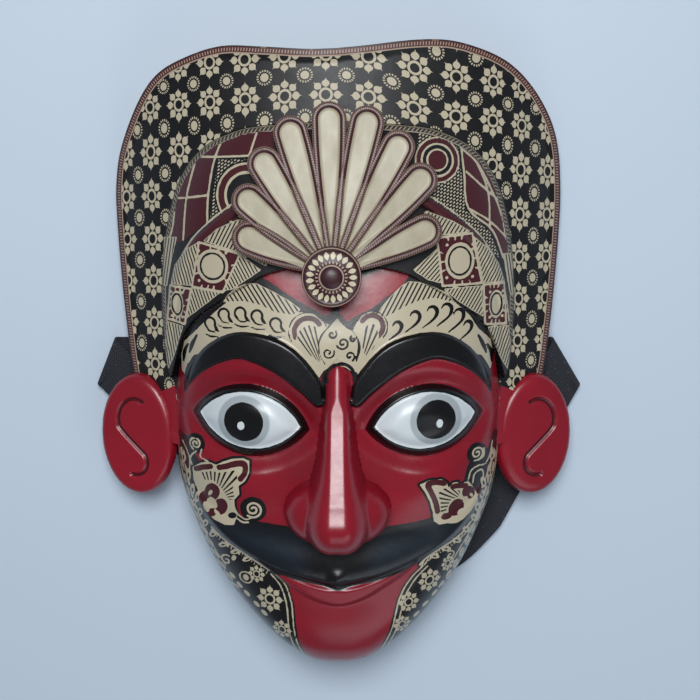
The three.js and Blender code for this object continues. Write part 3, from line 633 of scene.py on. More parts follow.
paints.paints["chain"] = np.maximum(np.abs(py + 76) - 34, 7.4 - np.abs(px) / 6)
paints.paints["face"] = np.where(is_face & (from_face > 0), 1.0, 0.0)

# Brow panel: pale, with feathers along its top, curls, two fans and a pointed leaf in the middle
PANEL_TOP = [
    (-71, -7), (-71, 0), (-69, 7), (-64, 11.6), (-58.5, 17), (-52, 23), (-46.5, 27.4), (-37, 28.2),
    (-31, 26.8), (-25, 24.3), (-21, 21.2), (-16, 22.6), (-10, 21.8), (-5.6, 18), (-3, 16.8), (-0.1, 20.5),
    (3.3, 16.6), (6.6, 14.5), (9.5, 20.5), (14.8, 23), (18.5, 21.5), (22, 22.5), (26, 25), (31, 27.4),
    (37, 29.5), (47, 28.6), (53, 24.6), (58, 20), (62.5, 13.6), (68.6, 8), (70, 2), (69.4, -5),
]
PANEL_BOTTOM = [
    (66, -8), (64, -6), (60, -4), (52, 0), (41, 7.5), (25, 3), (13, -6), (10, -9), (6, -3), (3, -1),
    (0, 0), (-3, -1), (-6, -3), (-10, -9), (-13, -6), (-25, 3), (-41, 7.5), (-52, 0), (-62, -4),
    (-66, -7), (-68, -9),
]
paints.lay("black", lambda x, y: np.where(is_face_at(x, y), np.maximum(10 - y, -3), 6))
arc = [
    (75.6, -14, 1.6), (73.4, -2, 1.9), (71.6, 6, 2.2), (67, 14, 2.6), (60, 20, 2.6), (52, 26, 2.6),
    (42, 31.4, 2.4),
]
for side in (-1, 1):
    paints.stroke("black", [(side * x, y, half) for x, y, half in arc])
paints.shape("cream", [*PANEL_TOP, *PANEL_BOTTOM])
paints.shape("black", [*PANEL_TOP, *PANEL_BOTTOM], grow=0.6)
LEFT_FEATHERS = [
    (-50, 26), (-47.6, 29.5), (-44, 32.6), (-39.5, 34.6), (-34.5, 34.4), (-28, 31.4), (-21, 27.6),
    (-15.6, 23.6), (-19, 21), (-27, 22.2), (-33, 25), (-40, 26.6),
]
RIGHT_FEATHERS = [
    (17.6, 22), (19.6, 25.4), (22.8, 29), (27, 33.2), (31, 35.6), (36, 35), (42, 33), (48, 30),
    (52, 25.4), (42, 28), (35, 26.8), (29, 24.4), (24, 21.6), (19.6, 19.8),
]
paints.hatched(LEFT_FEATHERS, -57, 1.8)
paints.hatched(RIGHT_FEATHERS, 62, 1.8)
for x, y in ((-56, 16.6), (-49.6, 20.8), (-42.2, 21.6), (-34.8, 20.6), (-26.6, 17.4)):
    paints.arc("ink", (x, y), 2.4, 0.5, 235, -20)
    paints.stroke("ink", [(x + 2.2, y - 0.9, 0.5), (x + 3, y - 2.4, 0.7), (x + 4.2, y - 3.4, 0.3)])
    paints.stroke("ink", [(x - 1.5, y - 2.1, 0.45), (x - 0.2, y - 3.4, 0.45), (x + 2.4, y - 3.8, 0.3)])
    paints.stroke("ink", [(x - 2.6, y - 4.8, 0.3), (x + 0.4, y - 5.8, 0.4), (x + 3.8, y - 5.6, 0.3)])
for x, y, reach in (
    (25.8, 16, 0.9), (33.5, 20, 1), (41, 21.8, 1.05), (47.5, 22.6, 1.1), (53, 20, 1.1), (57.2, 15, 0.9),
):
    comma = [
        (-2.1, 0.6, 0.3), (-1, 2.2, 0.5), (0.9, 2.4, 0.8), (2.2, 0.6, 0.9), (1, -2.4, 0.6),
        (-4, -6.2, 0.3),
    ]
    paints.stroke("ink", [(x + reach * dx, y + reach * dy, half) for dx, dy, half in comma])
# The left fan, the right one, and the leaf between them with its curls
for centre, radius, half, first, last in (
    ((-12.6, 14), 5.9, 1.1, 205, 35), ((15, 16.3), 4.8, 1.1, 150, -75),
):
    turn = np.radians(np.linspace(first, last, 24))
    x, y = centre[0] + radius * np.cos(turn), centre[1] + radius * np.sin(turn)
    band = np.column_stack([x, y, np.full(len(turn), half)])
    paints.keep_off("cream", lambda x, y: -to_stroke(x, y, band))
    paints.arc("maroon", centre, radius, half + 0.3, first, last)
paints.arc("ink", (-12.6, 14), 8.3, 0.3, 215, 10)
LEFT_FAN = [(-18, 10.4), (-16.4, 15), (-13, 17.2), (-9.2, 16.6), (-7.6, 12), (-7, 0), (-12, 4), (-16, 7.6)]
paints.hatched(LEFT_FAN, 0, 6, (-5.5, -4))
paints.arc("ink", (15, 16.3), 6.7, 0.3, 160, -45)
RIGHT_FAN = [(11, 14.6), (12.6, 17), (15, 18.2), (17.4, 16.4), (18, 12), (16, 7), (12, 3), (10.4, 8)]
paints.hatched(RIGHT_FAN, 0, 8, (9.5, -2))
leaf_right = [(-0.1, 20.3), (3, 17), (6.8, 14.2), (9, 10.4), (9.4, 6.5), (8.2, 1.4)]
leaf_left = [(-0.1, 20.3), (-3.2, 16.8), (-6.8, 12.4), (-8.1, 8), (-7.3, 3.5), (-5.2, 0)]
paints.stroke("ink", [(x, y, half) for (x, y), half in zip(leaf_right, (0.3, 0.4, 0.3, 0.45, 0.7, 0.3))])
paints.stroke("ink", leaf_left, 0.34)
for x, y, radius, first, turns in (
    (2.4, 9.2, 2.9, 200, 1.35), (-3.9, 5, 2.7, 20, -1.3), (-2.2, 13, 2.1, 40, -1.1),
    (5.4, 3.6, 2.3, 300, 1.1), (6.9, 11, 1.5, 120, 0.9),
):
    paints.spiral("ink", (x, y), radius, 0.42, first, turns)
for side in (-1, 1):
    paints.stroke("ink", [(side * 69.6, -2, 0.7), (side * 69, 2.4, 1), (side * 67, 6, 0.5)])
    paints.stroke("ink", [(side * 66.4, 2.4, 0.5), (side * 64.8, 6.4, 1), (side * 62.4, 10.6, 0.5)])
paints.arc("ink", (1.4, -5.6), 6, 0.75, 195, -15)
for side in (-1, 1):
    beside_nose = [(6.6, -4, 0.7), (7.4, -8, 1.2), (8, -16, 1.6)]
    paints.stroke("ink", [(1.4 + side * x, y, half) for x, y, half in beside_nose])
    paints.stroke("ink", [(side * 62, -1, 3.2), (side * 66.4, -7, 2.6), (side * 69.4, -16, 0.7)])
paints.stroke("red", [(1.6, -5.4, 5.2), (1.3, -10, 5), (1.1, -17, 5), (0.6, -26, 6), (0, -34, 8)])
RIGHT_GLOW = [
    (4, 18.4), (9.5, 21.6), (15, 24.2), (20.4, 28.4), (26.6, 32.6), (31, 37.6), (33.5, 40.6), (20, 41),
    (6, 34), (1, 24),
]
LEFT_GLOW = [
    (-36.4, 40.4), (-34, 38), (-28, 34.7), (-22, 30.5), (-15.8, 26.8), (-10.4, 23.8), (-4.6, 21),
    (-2, 25), (-4, 34), (-20, 41),
]
paints.shape("red", RIGHT_GLOW, smooth=True)
paints.shape("red", LEFT_GLOW, smooth=True)
# The face's red skin, which also runs on beside the ears, over the step between face and crown
by_ear = np.where(is_face, 6, np.maximum(py + 15 + 0.5 * np.maximum(0, np.abs(px) - 74), -44 - py))
paints.paints["red"] = np.maximum(paints.paints["red"], np.where(is_face, -6, 3))
paints.paints["red"] = np.minimum(paints.paints["red"], by_ear)

# Brows, eyes and moustache
paints.lay("ink", lambda x, y: to_stroke(np.abs(x), y, spline(BROW)))
paints.lay("black", lambda x, y: to_moustache(x, y) - 0.5)
skin = skin_height(px, py)
on_nose = np.clip(nose_height(px, py, skin) - skin - 0.5, -3, 3)
paints.keep_off("black", lambda x, y: on_nose)
paints.lay("ink", to_eye)
paints.lay("white", to_eyeball)
# Painted reflection: a bluish sheen on the moustache's black, strongest deep inside it and gone near its
# middle
paints.lay("painted_moustache_sheen", lambda x, y: np.maximum(to_moustache(x, y), 10 - np.abs(x)) / 14)
IRISES = [(-41, -25.9), (43.2, -25)]
for x, y in IRISES:
    for paint, radius in (("grey", 12), ("pupil", 8.8)):
        paints.lay(paint, lambda vx, vy: np.maximum(np.hypot(vx - x, vy - y) - radius, to_eyeball(vx, vy)))
    paints.disc("spark", (x + (1.5 if x > 0 else -1.2), y - 1.6), 2, 0.8)

# Cap, left and right: maroon panels between pale lines, rings, the roll, and the band with its discs
for quad in (
    [(-48.5, 101), (-27, 102), (-27.3, 89.8), (-53, 89.4)],
    [
        (-70, 89), (-48.5, 101), (-51.5, 88.8), (-53.5, 88.1), (-56.2, 72.2), (-56.9, 60.6), (-68.5, 52),
        (-79, 50), (-79, 70),
    ],
    [
        (54.1, 94), (62, 89), (70, 80), (76, 68), (78.5, 52), (78.5, 40), (74, 44), (68.5, 56.8),
        (57, 66.6), (55.2, 82.5),
    ],
):
    paints.shape("maroon", quad, grow=0.2)
for line in (
    [(-71, 89.2), (-51.5, 88.8), (-27, 89.6)], [(-72, 70.6), (-66.8, 71), (-56.2, 72.2)],
    [(-48.2, 101), (-53.5, 88.1), (-56.2, 72.2), (-56.7, 60.4)],
    [(-60.6, 96), (-62.6, 88.1), (-66.8, 71.4), (-68.4, 52.6)],
    [(-34.2, 101), (-37.7, 89.4)], [(-73, 84), (-72.4, 70), (-77.6, 69)],
    [(-72.6, 70.6), (-74, 58), (-77, 50)],
    [(54.1, 95), (55.2, 82.5), (57, 66.6), (68.5, 56.8), (74.4, 44)],
    [(53.6, 93.3), (61.6, 86.2), (67.7, 75.8), (73, 64.2), (76, 52)],
    [(56.2, 82.5), (66.5, 73.9), (77.6, 66)], [(61.6, 86.2), (66.5, 73.9), (67.4, 59)],
    [(57, 66.6), (67, 61), (76, 53)],
):
    paints.stroke("cream", line, 0.46)
DASHED = [
    [(-53, 89), (-27, 89), (-27, 60), (-57, 60)],
    [(34, 102), (54, 94), (57, 66.6), (68.5, 56.8), (76, 40), (30, 70)],
]
for corners in DASHED:
    edge = np.array(corners, float)

    def outside_dashes(x, y):
        return np.maximum(1.4 - to_edge(x, y, edge), CAP_BORDER - to_edge(x, y, cap_outline))

    paints.lay("dashes", outside_dashes, edge)
LEFT_RINGS = (("black", 14.6), ("cream", 13.9), ("maroon", 12.9), ("cream", 10.2), ("black", 9))
RIGHT_RINGS = (
    ("cream", 10), ("maroon", 9.3), ("cream", 7.4), ("black", 6.5), ("cream", 4.9), ("maroon", 4.1),
)
for centre, rings in (((-38.6, 72.5), LEFT_RINGS), ((43.2, 87.4), RIGHT_RINGS)):
    edges = [radius for _, radius in rings] + [0]
    reach = np.hypot(px - centre[0], py - centre[1])
    for paint in ("maroon", "cream", "dashes", "ink"):
        paints.paints[paint] = np.maximum(paints.paints[paint], edges[0] - reach)
    for (paint, outer), inner in zip(rings, edges[1:]):
        ring = np.abs(reach - (outer + inner) / 2) - (outer - inner) / 2
        if paint != "black":
            paints.paints[paint] = np.minimum(paints.paints[paint], ring)
for side in (-1, 1):
    roll = spline([(side * x, y, half) for x, y, half in [(16, 80, 2.6), *CAP_ROLL, (78.6, -4, 1.6)]])
    for paint in ("cream", "dashes", "maroon"):
        paints.paints[paint] = np.maximum(paints.paints[paint], -to_stroke(px, py, roll) - 0.2)
    paints.lay("maroon", lambda x, y: to_stroke(x, y, roll) + 0.6)
    line = [(side * x, y) for x, y, _ in CAP_ROLL]
    paints.stroke("cream", [(x + side * 0.5, y + 3.4) for x, y in line], 0.38)

for paint in ("maroon", "cream", "dashes"):
    over = (cap_edge > -9) & (cap_edge < CAP_BORDER)
    paints.paints[paint][over] = np.maximum(paints.paints[paint], CAP_BORDER - cap_edge)[over]

# The cap's front band: hatched triangles round a maroon square with a pale disc, and a box with an oval
for points, direction, pitch in (
    ([(-79.6, 53), (-71.6, 53.6), (-74.4, 44), (-77.4, 31), (-80.8, 31)], 80, 1.5),
    ([(79.4, 46), (74, 46), (75.6, 38), (78, 28), (80.6, 26)], -80, 1.5),
    ([(-32.5, 40.6), (-41.8, 47.3), (-49.7, 30.9), (-45.6, 31.8)], -62, 1.45),
    ([(-50.8, 30.4), (-64.2, 31.8), (-67.4, 17.6), (-58, 24.6)], -70, 1.45),
    ([(-60.6, 52), (-64.4, 32.4), (-75.2, 32.6), (-73, 41), (-67, 48.6)], -75, 1.45),
    ([(-58.5, 52.5), (-42, 47.8), (-30, 42), (-30, 62), (-43, 62), (-52, 58)], 62, 1.6),
    ([(-69, 14), (-77.6, 15.4), (-79.4, 2), (-78, -8), (-74, 0)], -80, 1.45),
    ([(32.5, 40.6), (43.4, 50), (45.2, 34.6), (39, 36.2)], 48, 1.45),
    ([(46, 32.2), (63.6, 32.8), (64.6, 18.6), (52.4, 26.6)], 58, 1.45),
    ([(59.6, 54.6), (64.4, 33.6), (75.2, 33.8), (72, 42), (66, 49.4)], 62, 1.45),
    ([(42.6, 55), (58.4, 56.6), (50, 61.4), (38, 66), (34, 60)], 60, 1.6),
    ([(66.8, 14), (77.4, 13.4), (79.4, 2), (78, -8), (73, 0)], 70, 1.45),
):
    paints.hatched(points, direction, pitch)
for points in (
    [(-60.6, 51.9), (-41.8, 47.3), (-49.7, 30.6), (-64.3, 32.2)],
    [(-64.8, 31), (-75.6, 31.8), (-77, 16.6), (-68.2, 15)],
    [(42.9, 54.2), (58.7, 55.9), (63.7, 33.8), (45.6, 33.4)],
    [(64.5, 33), (74.8, 33.2), (76.1, 14.4), (65.5, 15.3)],
):
    inside = to_edge(px, py, np.array(points, float))
    for paint in ("cream", "hatching"):
        paints.paints[paint] = np.maximum(paints.paints[paint], inside)
    paints.outlined(points, 0.5, "maroon")
    for (ax, ay), (bx, by) in zip(points, [*points[1:], points[0]]):
        for share in (0.28, 0.5, 0.72):
            x, y = ax + (bx - ax) * share, ay + (by - ay) * share
            middle = np.mean(points, axis=0)
            inward = (middle - (x, y)) / np.hypot(*(middle - (x, y)))
            paints.stroke("cream", [(x, y), (x + 1.9 * inward[0], y + 1.9 * inward[1])], 0.34)
for centre, radius, flat in (
    ((-54.4, 41.6), 7.4, 0.98), ((-72, 23.6), 6.2, 0.52), ((53.3, 44), 8, 0.83),
    ((70.9, 23.8), 6.4, 0.56),
):
    paints.disc("cream", centre, radius, flat)
    paints.arc("ink", centre, radius * 0.76, 0.46, flat=flat)
    for k in range(4):
        a = math.radians(45 + 90 * k)
        corner = (centre[0] + radius * 1.25 * flat * math.cos(a), centre[1] + radius * 1.25 * math.sin(a))
        paints.disc("cream", corner, 0.7)

# Cheeks: a butterfly's wing with a hatched edge, curls, and leaves down the jaw's side, on a black ground
RIGHT_WING = [
    (36.3, -54.6), (40.7, -52.8), (45.9, -52.8), (48.6, -54.6), (49.5, -57.2), (51.4, -55.2),
    (53.7, -55.2), (55.4, -57.5), (56.9, -56), (59, -55.9), (61.1, -58.9), (63.4, -62.7), (64, -66.5),
    (60.8, -70.6), (56.8, -73.7), (53.6, -75), (48.8, -74.4), (45.7, -74.7), (43, -72.7), (42.5, -68.4),
    (41.2, -63.4), (38.9, -58.5),
]
LEFT_WING = [
    (-39.2, -44.7), (-42.1, -43.8), (-46.6, -44.2), (-51.2, -45.6), (-54.3, -47.4), (-58.4, -46.5),
    (-62.2, -48), (-66.4, -51), (-66, -57), (-63, -64), (-60.6, -70), (-56, -73.6), (-51, -75.4),
    (-46.6, -75), (-45, -70), (-46, -65.6), (-46, -62.3), (-43.7, -59.6), (-43.9, -55.7), (-40.9, -53.2),
    (-39, -49.4),
]
RIGHT_EDGE = [
    (75.4, -38), (74.8, -52), (72, -64.8), (68.6, -74), (63.8, -84), (58, -94), (50, -103), (50, -92),
    (58, -81), (62, -72), (62, -62), (57.6, -56), (59, -50), (60.4, -47), (66.6, -46), (70, -42),
    (72, -36),
]
LEFT_EDGE = [
    (-75.4, -36), (-75, -52.6), (-72.4, -62), (-70, -70), (-66.4, -78), (-62, -86), (-57.6, -93),
    (-50, -103), (-50, -94), (-57.5, -82.6), (-60, -76), (-60, -64), (-62, -50), (-66.6, -44), (-69, -38),
]
for shape in (RIGHT_WING, LEFT_WING, RIGHT_EDGE, LEFT_EDGE):
    paints.shape("black", shape, grow=1.1)
for shape in (RIGHT_WING, LEFT_WING):
    paints.shape("cream", shape)
for band in ([(47.5, -54.9), (43.7, -54), (40, -54.7), (41.6, -58.7), (43.7, -63.6), (44.6, -68)],
             [(-53, -48.4), (-49.6, -47.4), (-44.3, -46), (-41.2, -46.4), (-41, -49.5), (-43, -52.4)],
             [(-64.6, -51.4), (-60.6, -49.6), (-57, -48.6)], [(51.4, -57), (54, -57), (57.6, -57.8)]):
    paints.stroke("brown", band, 1.25)
    paints.stroke("cream", band, 0.22)
BROWN_OVALS = [
    (59.2, -61.4, 3.6, 0.8, -40), (53.4, -67.4, 4.2, 0.85, 30), (64.6, -61.6, 2.6, 0.5, -20),
    (-56.6, -60.4, 4.4, 0.8, 30), (-52.6, -66.8, 4.2, 0.75, 20), (-61.4, -64.6, 3.4, 0.6, 20),
    (-57, -70.4, 2.6, 0.7, 60), (49, -71, 2.6, 0.6, 80),
]
LEAF_OVALS = [
    (57.9, -64.9, 2.1, 0.66, -20), (55.8, -69.8, 2, 0.6, 60), (60.6, -63, 1.4, 0.5, -40),
    (-56.5, -65.8, 3, 0.6, -30), (-59.8, -68.4, 2.4, 0.6, -20), (-57.6, -61.2, 1.6, 0.5, 30),
    (-51.3, -73.6, 1.6, 0.6, 60), (-54.6, -70.2, 1.8, 0.5, -50),
]
for paint, ovals in (("brown", BROWN_OVALS), ("leaf", LEAF_OVALS)):
    for x, y, radius, flat, turn in ovals:
        paints.disc(paint, (x, y), radius, flat, turn)
RIGHT_FRINGE = [
    (48, -56.6), (52, -58), (55.6, -59.4), (54.6, -62.6), (50.6, -63.6), (49.4, -67), (48, -71),
    (45.8, -69), (45.6, -63.6), (44.2, -59),
]
LEFT_FRINGE = [
    (-62.8, -52.4), (-57, -50.4), (-52.4, -50.4), (-45.6, -48.4), (-44, -52), (-46.4, -57), (-45.6, -62),
    (-48.6, -63.4), (-51.6, -58.4), (-56, -55), (-61, -56),
]
paints.hatched(RIGHT_FRINGE, 0, 9.5, (58.6, -66))
paints.hatched(LEFT_FRINGE, 0, 9.5, (-56, -64))
paints.disc("ink", (-47.3, -70.4), 2.1, 0.7, 70)
for centre, radius, first, turns, half, under in (
    ((62.9, -43.6), 3.4, -110, 1.7, 0.42, 1.5), ((-64.4, -39.4), 3.2, -110, -1.7, 0.42, 1.4),
    ((-37.6, -66.4), 4.2, -130, 1.8, 0.5, 1.8), ((45.6, -70.4), 2.4, 120, -1.4, 0.42, 0.8),
):
    paints.disc("black", centre, radius + under)
    paints.spiral("cream", centre, radius, half, first, turns)
for line in (
    [(-46.4, -66.6), (-44.2, -69.8), (-41.2, -71.6), (-38.6, -70.8)],
    [(-45.4, -71.4), (-42.6, -73.2), (-40, -73)],
    [(58.9, -55.1), (60.1, -51.2), (63.3, -49.6), (66.8, -49.8)],
    [(61.1, -57.2), (61.8, -53.4), (64.2, -51.9), (66, -52.4), (66.6, -56)],
    [(63.2, -47), (66.4, -45.6), (66.4, -42)], [(-61.4, -41.6), (-62, -45), (-58.4, -46.4)],
    [(-64, -42.8), (-67, -46), (-68, -52)],
    [(67.4, -50), (69.6, -46), (71, -40)], [(64, -63.4), (67.4, -58), (69.4, -51)],
    [(-66.4, -50), (-69, -44), (-71.6, -40)],
    [
        (74.6, -38), (73.9, -46.6), (72.7, -53.4), (71, -59.3), (68.7, -66.9), (66, -73.8), (63.3, -78.9),
        (57, -89.1), (50, -100),
    ],
    [
        (-74.8, -38), (-73.6, -50.6), (-72.4, -56.6), (-70.4, -63.4), (-68.6, -70.5), (-66.2, -75.8),
        (-60, -86.8), (-52, -98.4),
    ],
):
    paints.stroke("cream", line, 0.38)
paints.disc("ink", (63.4, -55.2), 2.2, 0.6, -20)
for x, y, length, flat, turn in (
    (66.7, -58.6, 3.2, 0.42, -20), (66.2, -64.6, 2.6, 0.5, -10), (64.3, -70.4, 3, 0.5, -15),
    (62.6, -75.6, 2.6, 0.5, -25),
    (59, -80.6, 2.6, 0.5, -40), (54.6, -85, 2.6, 0.5, -55), (49.4, -88, 2.6, 0.45, -65),
    (44, -90.6, 2.6, 0.45, -65),
    (69.6, -55, 2.6, 0.45, -12), (71, -47, 3, 0.42, 0), (-71.4, -48, 3, 0.42, 4),
    (-68.8, -55.6, 3.2, 0.42, 8),
    (-67, -62.4, 3.2, 0.42, 14), (-64.4, -65, 3.2, 0.4, 16), (-66.6, -69, 2.4, 0.42, 20),
    (-63.7, -73, 2.8, 0.46, 24),
    (-61.2, -78, 2.6, 0.5, 32), (-57.6, -82.6, 2.6, 0.5, 45), (-52.6, -86.6, 2.8, 0.45, 60),
    (-46.8, -89, 2.6, 0.45, 65),
    (-41, -91.6, 2.6, 0.42, 62),
):
    paints.disc("cream", (x, y), length, flat, turn)
    paints.disc("ink", (x, y - 0.2), length * 0.45, flat * 0.8, turn)

# Jaws: black bands with flowers, parted from the red chin by two pale lines, under a wavy pale line
RIGHT_JAW_LINE = [
    (38.6, -94.8), (34.1, -99.3), (30.4, -104.9), (27.8, -111.5), (26.4, -118.4), (24.6, -127),
    (21, -137), (17, -149),
]
LEFT_JAW_LINE = [
    (-28, -97.4), (-23.6, -103.4), (-21.1, -112.6), (-20.5, -121.2), (-19.5, -130.7), (-17, -140),
    (-14, -149),
]
RIGHT_JAW_TOP = [(61, -77.4), (57.3, -81.4), (52.5, -84.4), (46.2, -87.2), (40.8, -90.2), (37.1, -94)]
LEFT_JAW_TOP = [(-58, -79), (-55.8, -81), (-49.5, -85.2), (-43.2, -88.3), (-37.9, -91.6), (-31, -96)]
for side, inner, second, top in (
    (1, RIGHT_JAW_LINE, 2.2, RIGHT_JAW_TOP),
    (-1, LEFT_JAW_LINE, 2.3, LEFT_JAW_TOP),
):
    outer = [(side * 30, -146), (side * 44, -132), (side * 62, -106), (side * 64, -90), (side * 61, -78)]
    paints.shape("black", [*inner, *outer, *top[1:]], grow=1.2)
    paints.stroke("cream", inner, 0.36)
    paints.stroke("cream", [(x + side * second, y - 0.5) for x, y in inner], 0.36)
    paints.stroke("cream", top, 0.5)
    feet, tips = [(x, y - 0.6) for x, y in top], [(x + side * 0.6, y - 2.2) for x, y in top]
    paints.fringe("cream", feet, tips, 24, 0.16, 0.3)
for x, y, size, flat in (
    (-31.1, -111.2, 7, 0.86), (-37, -98.8, 4.4, 0.9), (-26, -127, 5.4, 0.86), (42, -103.2, 6.4, 0.84),
    (32.4, -113, 5.6, 0.86), (50.6, -96.4, 4.6, 0.7), (29.6, -125, 5, 0.86), (-24, -142, 4.6, 0.8),
    (27.4, -139, 4.6, 0.8),
):
    east, north = (px - x) / flat * FLOWER_REACH / size, (py - y) * FLOWER_REACH / size
    reach = np.hypot(east, north)
    near = reach < FLOWER_GROUND
    paints.paints["column"][near] = (east / FLOWER_PITCH)[near]
    paints.paints["row"][near] = (north / FLOWER_PITCH)[near]
    paints.paints["flowers"][near] = (reach - FLOWER_REACH - 0.6)[near]
JAW_LEAVES = [
    (-45.7, -107.3, -40), (-42.2, -111, -40), (-37.8, -115.6, -42), (-34.1, -119.7, -44),
    (-30, -134, -44), (45, -112, 40), (40.6, -117, 42), (36.4, -121.6, 44), (32, -132, 40),
    (-49, -103, -40),
]
for x, y, turn in JAW_LEAVES:
    paints.disc("cream", (x, y), 1.9, 0.6, turn)
paints.spiral("cream", (-51.4, -94.8), 3, 0.4, 60, 1.2)
paints.disc("cream", (-47.6, -92.4), 1.7, 0.6, 30)
paints.spiral("cream", (51.6, -92), 2.4, 0.4, 120, -1.2)
paints.disc("cream", (-42.2, -101.7), 1.7, 0.8)
paints.arc("cream", (-42.2, -101.7), 3, 0.36)
on_jaws = (py < -36) & (np.abs(px) > 17 + 0.1 * np.maximum(0, py + 140))
paints.paints["black"] = np.minimum(paints.paints["black"], np.where(on_jaws, from_face - 4, 6))
for paint in ("cream", "brown", "leaf"):
    over = (py < -20) & (from_face < 0.6)
    paints.paints[paint][over] = np.maximum(paints.paints[paint], 0.6 - from_face)[over]
paints.store()


def tint(red, green, blue):
    """A colour as it is read off a screen, in the linear numbers that a material takes."""
    shares = [c / 255 for c in (red, green, blue)]
    return (*(((c + 0.055) / 1.055) ** 2.4 if c > 0.04 else c / 12.92 for c in shares), 1)


class Number:
    """A number that varies over a surface, made with ordinary arithmetic."""

    def __init__(self, finish, socket):
        self.finish, self.socket = finish, socket

    def _with(self, operation, *others):
        return self.finish.sum(operation, self, *others)

    def __add__(self, other):
        return self._with("ADD", other)

    def __sub__(self, other):
        return self._with("SUBTRACT", other)

    def __rsub__(self, other):
        return self.finish.sum("SUBTRACT", other, self)

    def __mul__(self, other):
        return self._with("MULTIPLY", other)

    def __truediv__(self, other):
        return self._with("DIVIDE", other)

    def __lt__(self, other):
        return self._with("LESS_THAN", other)

    def __gt__(self, other):
        return self._with("GREATER_THAN", other)

    def __and__(self, other):
        return self._with("MINIMUM", other)

    def __or__(self, other):
        return self._with("MAXIMUM", other)

    def size(self):
        return self._with("ABSOLUTE")

    def root(self):
        return self._with("SQRT")

    def cosine(self):
        return self._with("COSINE")

    def sine(self):
        return self._with("SINE")

    def from_whole(self):
        """How far it is from the nearest whole number, from -0.5 to 0.5."""
        return self - self._with("ROUND")

    def within(self, low, high):
        return (self > low) & (self < high)


class Finish:
    """A lacquer, wood or cloth finish that is built up coat by coat."""

    def __init__(self, name, roughness):
        self.material = bpy.data.materials.new(name)
        self.material.use_nodes = True
        self.tree = self.material.node_tree
        self.shader = self.tree.nodes["Principled BSDF"]
        self.shader.inputs["Roughness"].default_value = roughness
        self.last = None

    def node(self, kind, **settings):
        made = self.tree.nodes.new(kind)
        for name, value in settings.items():
            setattr(made, name, value)
        return made

    def join(self, value, socket):
        if isinstance(value, Number):
            self.tree.links.new(value.socket, socket)
        elif hasattr(value, "is_output"):
            self.tree.links.new(value, socket)
        else:
            socket.default_value = value

    def sum(self, operation, *values):
        made = self.node("ShaderNodeMath", operation=operation)
        for value, socket in zip(values, made.inputs):
            self.join(value, socket)
        return Number(self, made.outputs[0])

    def reads(self, attribute):
        return Number(self, self.node("ShaderNodeAttribute", attribute_name=attribute).outputs["Fac"])

    def place(self):
        """The three coordinates in millimetres."""
        split = self.node("ShaderNodeSeparateXYZ")
        self.tree.links.new(self.node("ShaderNodeTexCoord").outputs["Object"], split.inputs[0])
        return [Number(self, socket) * (1 / MM) for socket in split.outputs]

    def noise(self, scale, detail=2, stretch=(1, 1, 1)):
        """Smooth noise round 0, with a given number of waves to the millimetre."""
        mapping = self.node("ShaderNodeMapping")
        self.tree.links.new(self.node("ShaderNodeTexCoord").outputs["Object"], mapping.inputs["Vector"])
        mapping.inputs["Scale"].default_value = tuple(factor / MM for factor in stretch)
        made = self.node("ShaderNodeTexNoise")
        made.inputs["Scale"].default_value = scale
        made.inputs["Detail"].default_value = detail
        self.tree.links.new(mapping.outputs[0], made.inputs["Vector"])
        return Number(self, made.outputs["Fac"]) - 0.5

    def coat(self, colour, share=None):
        """Lays a colour over what is there, all over or where share is 1."""
        if share is None:
            self.last = colour
            return
        made = self.node("ShaderNodeMix", data_type="RGBA", clamp_factor=True)
        self.join(share, made.inputs["Factor"])
        self.join(self.last, made.inputs["A"])
        self.join(colour, made.inputs["B"])
        self.last = made.outputs["Result"]

    def done(self, height=None, depth=0.2, roughness=None):
        self.join(self.last, self.shader.inputs["Base Color"])
        if roughness is not None:
            self.join(roughness, self.shader.inputs["Roughness"])
        if height is not None:
            bump = self.node("ShaderNodeBump")
            bump.inputs["Distance"].default_value = depth * MM
            bump.inputs["Strength"].default_value = 1
            self.join(height, bump.inputs["Height"])
            self.tree.links.new(bump.outputs[0], self.shader.inputs["Normal"])
        return self.material


RED, BLACK, MAROON = tint(134, 15, 33), tint(9, 7, 9), tint(64, 14, 22)
CREAM, WHITE, GREY = tint(178, 168, 144), tint(197, 204, 207), tint(156, 164, 167)
lacquer = Finish("painted_lacquer", 0.3)
x, y, z = lacquer.place()
wobble = lacquer.noise(0.35) * 0.5
cloudy = lacquer.noise(0.03, 3)
lacquer.coat(RED)
lacquer.coat(tint(108, 10, 26), cloudy * 1.6 + 0.3)


def painted(paint):
    return lacquer.reads(paint) + wobble < 0


lacquer.coat(BLACK, painted("black"))
# Painted reflection: the bluish sheen laid over the moustache's black
lacquer.coat(tint(22, 34, 46), painted("black") & (lacquer.reads("painted_moustache_sheen") * -1))

# Star flowers and little suns on the crown's black ground
sway = lacquer.noise(0.08)
u = lacquer.reads("column") + sway * 0.05
v = lacquer.reads("row") - sway * 0.05


def star(u, v):
    du, dv = u.from_whole() * FLOWER_PITCH, v.from_whole() * FLOWER_PITCH
    reach = (du * du + dv * dv).root()
    turn = lacquer.sum("ARCTAN2", dv, du)
    return reach, turn


reach, turn = star(u, v)
reach = reach / 1.09
fold = (turn * (4 / math.pi)).from_whole() * (math.pi / 4)
out, side_way = reach * fold.cosine(), (reach * fold.sine()).size()
body_of_drop = (out - 4.8) / 1.75
drop = side_way < (1 - body_of_drop * body_of_drop) * 1.65
point = (side_way < (FLOWER_REACH - out) * 0.3) & out.within(4.6, FLOWER_REACH)
ring = (reach - 2.4).size() < 0.5
suns, sun_turn = star(u + 0.5, v + 0.5)
sun = suns < 2
rays = suns.within(2.75, 3.7) & ((sun_turn * (17 / (2 * math.pi))).from_whole().size() < 0.26)
on_crown = lacquer.reads("flowers") < 0
lacquer.coat(CREAM, (drop | point | ring | sun | rays) & on_crown)

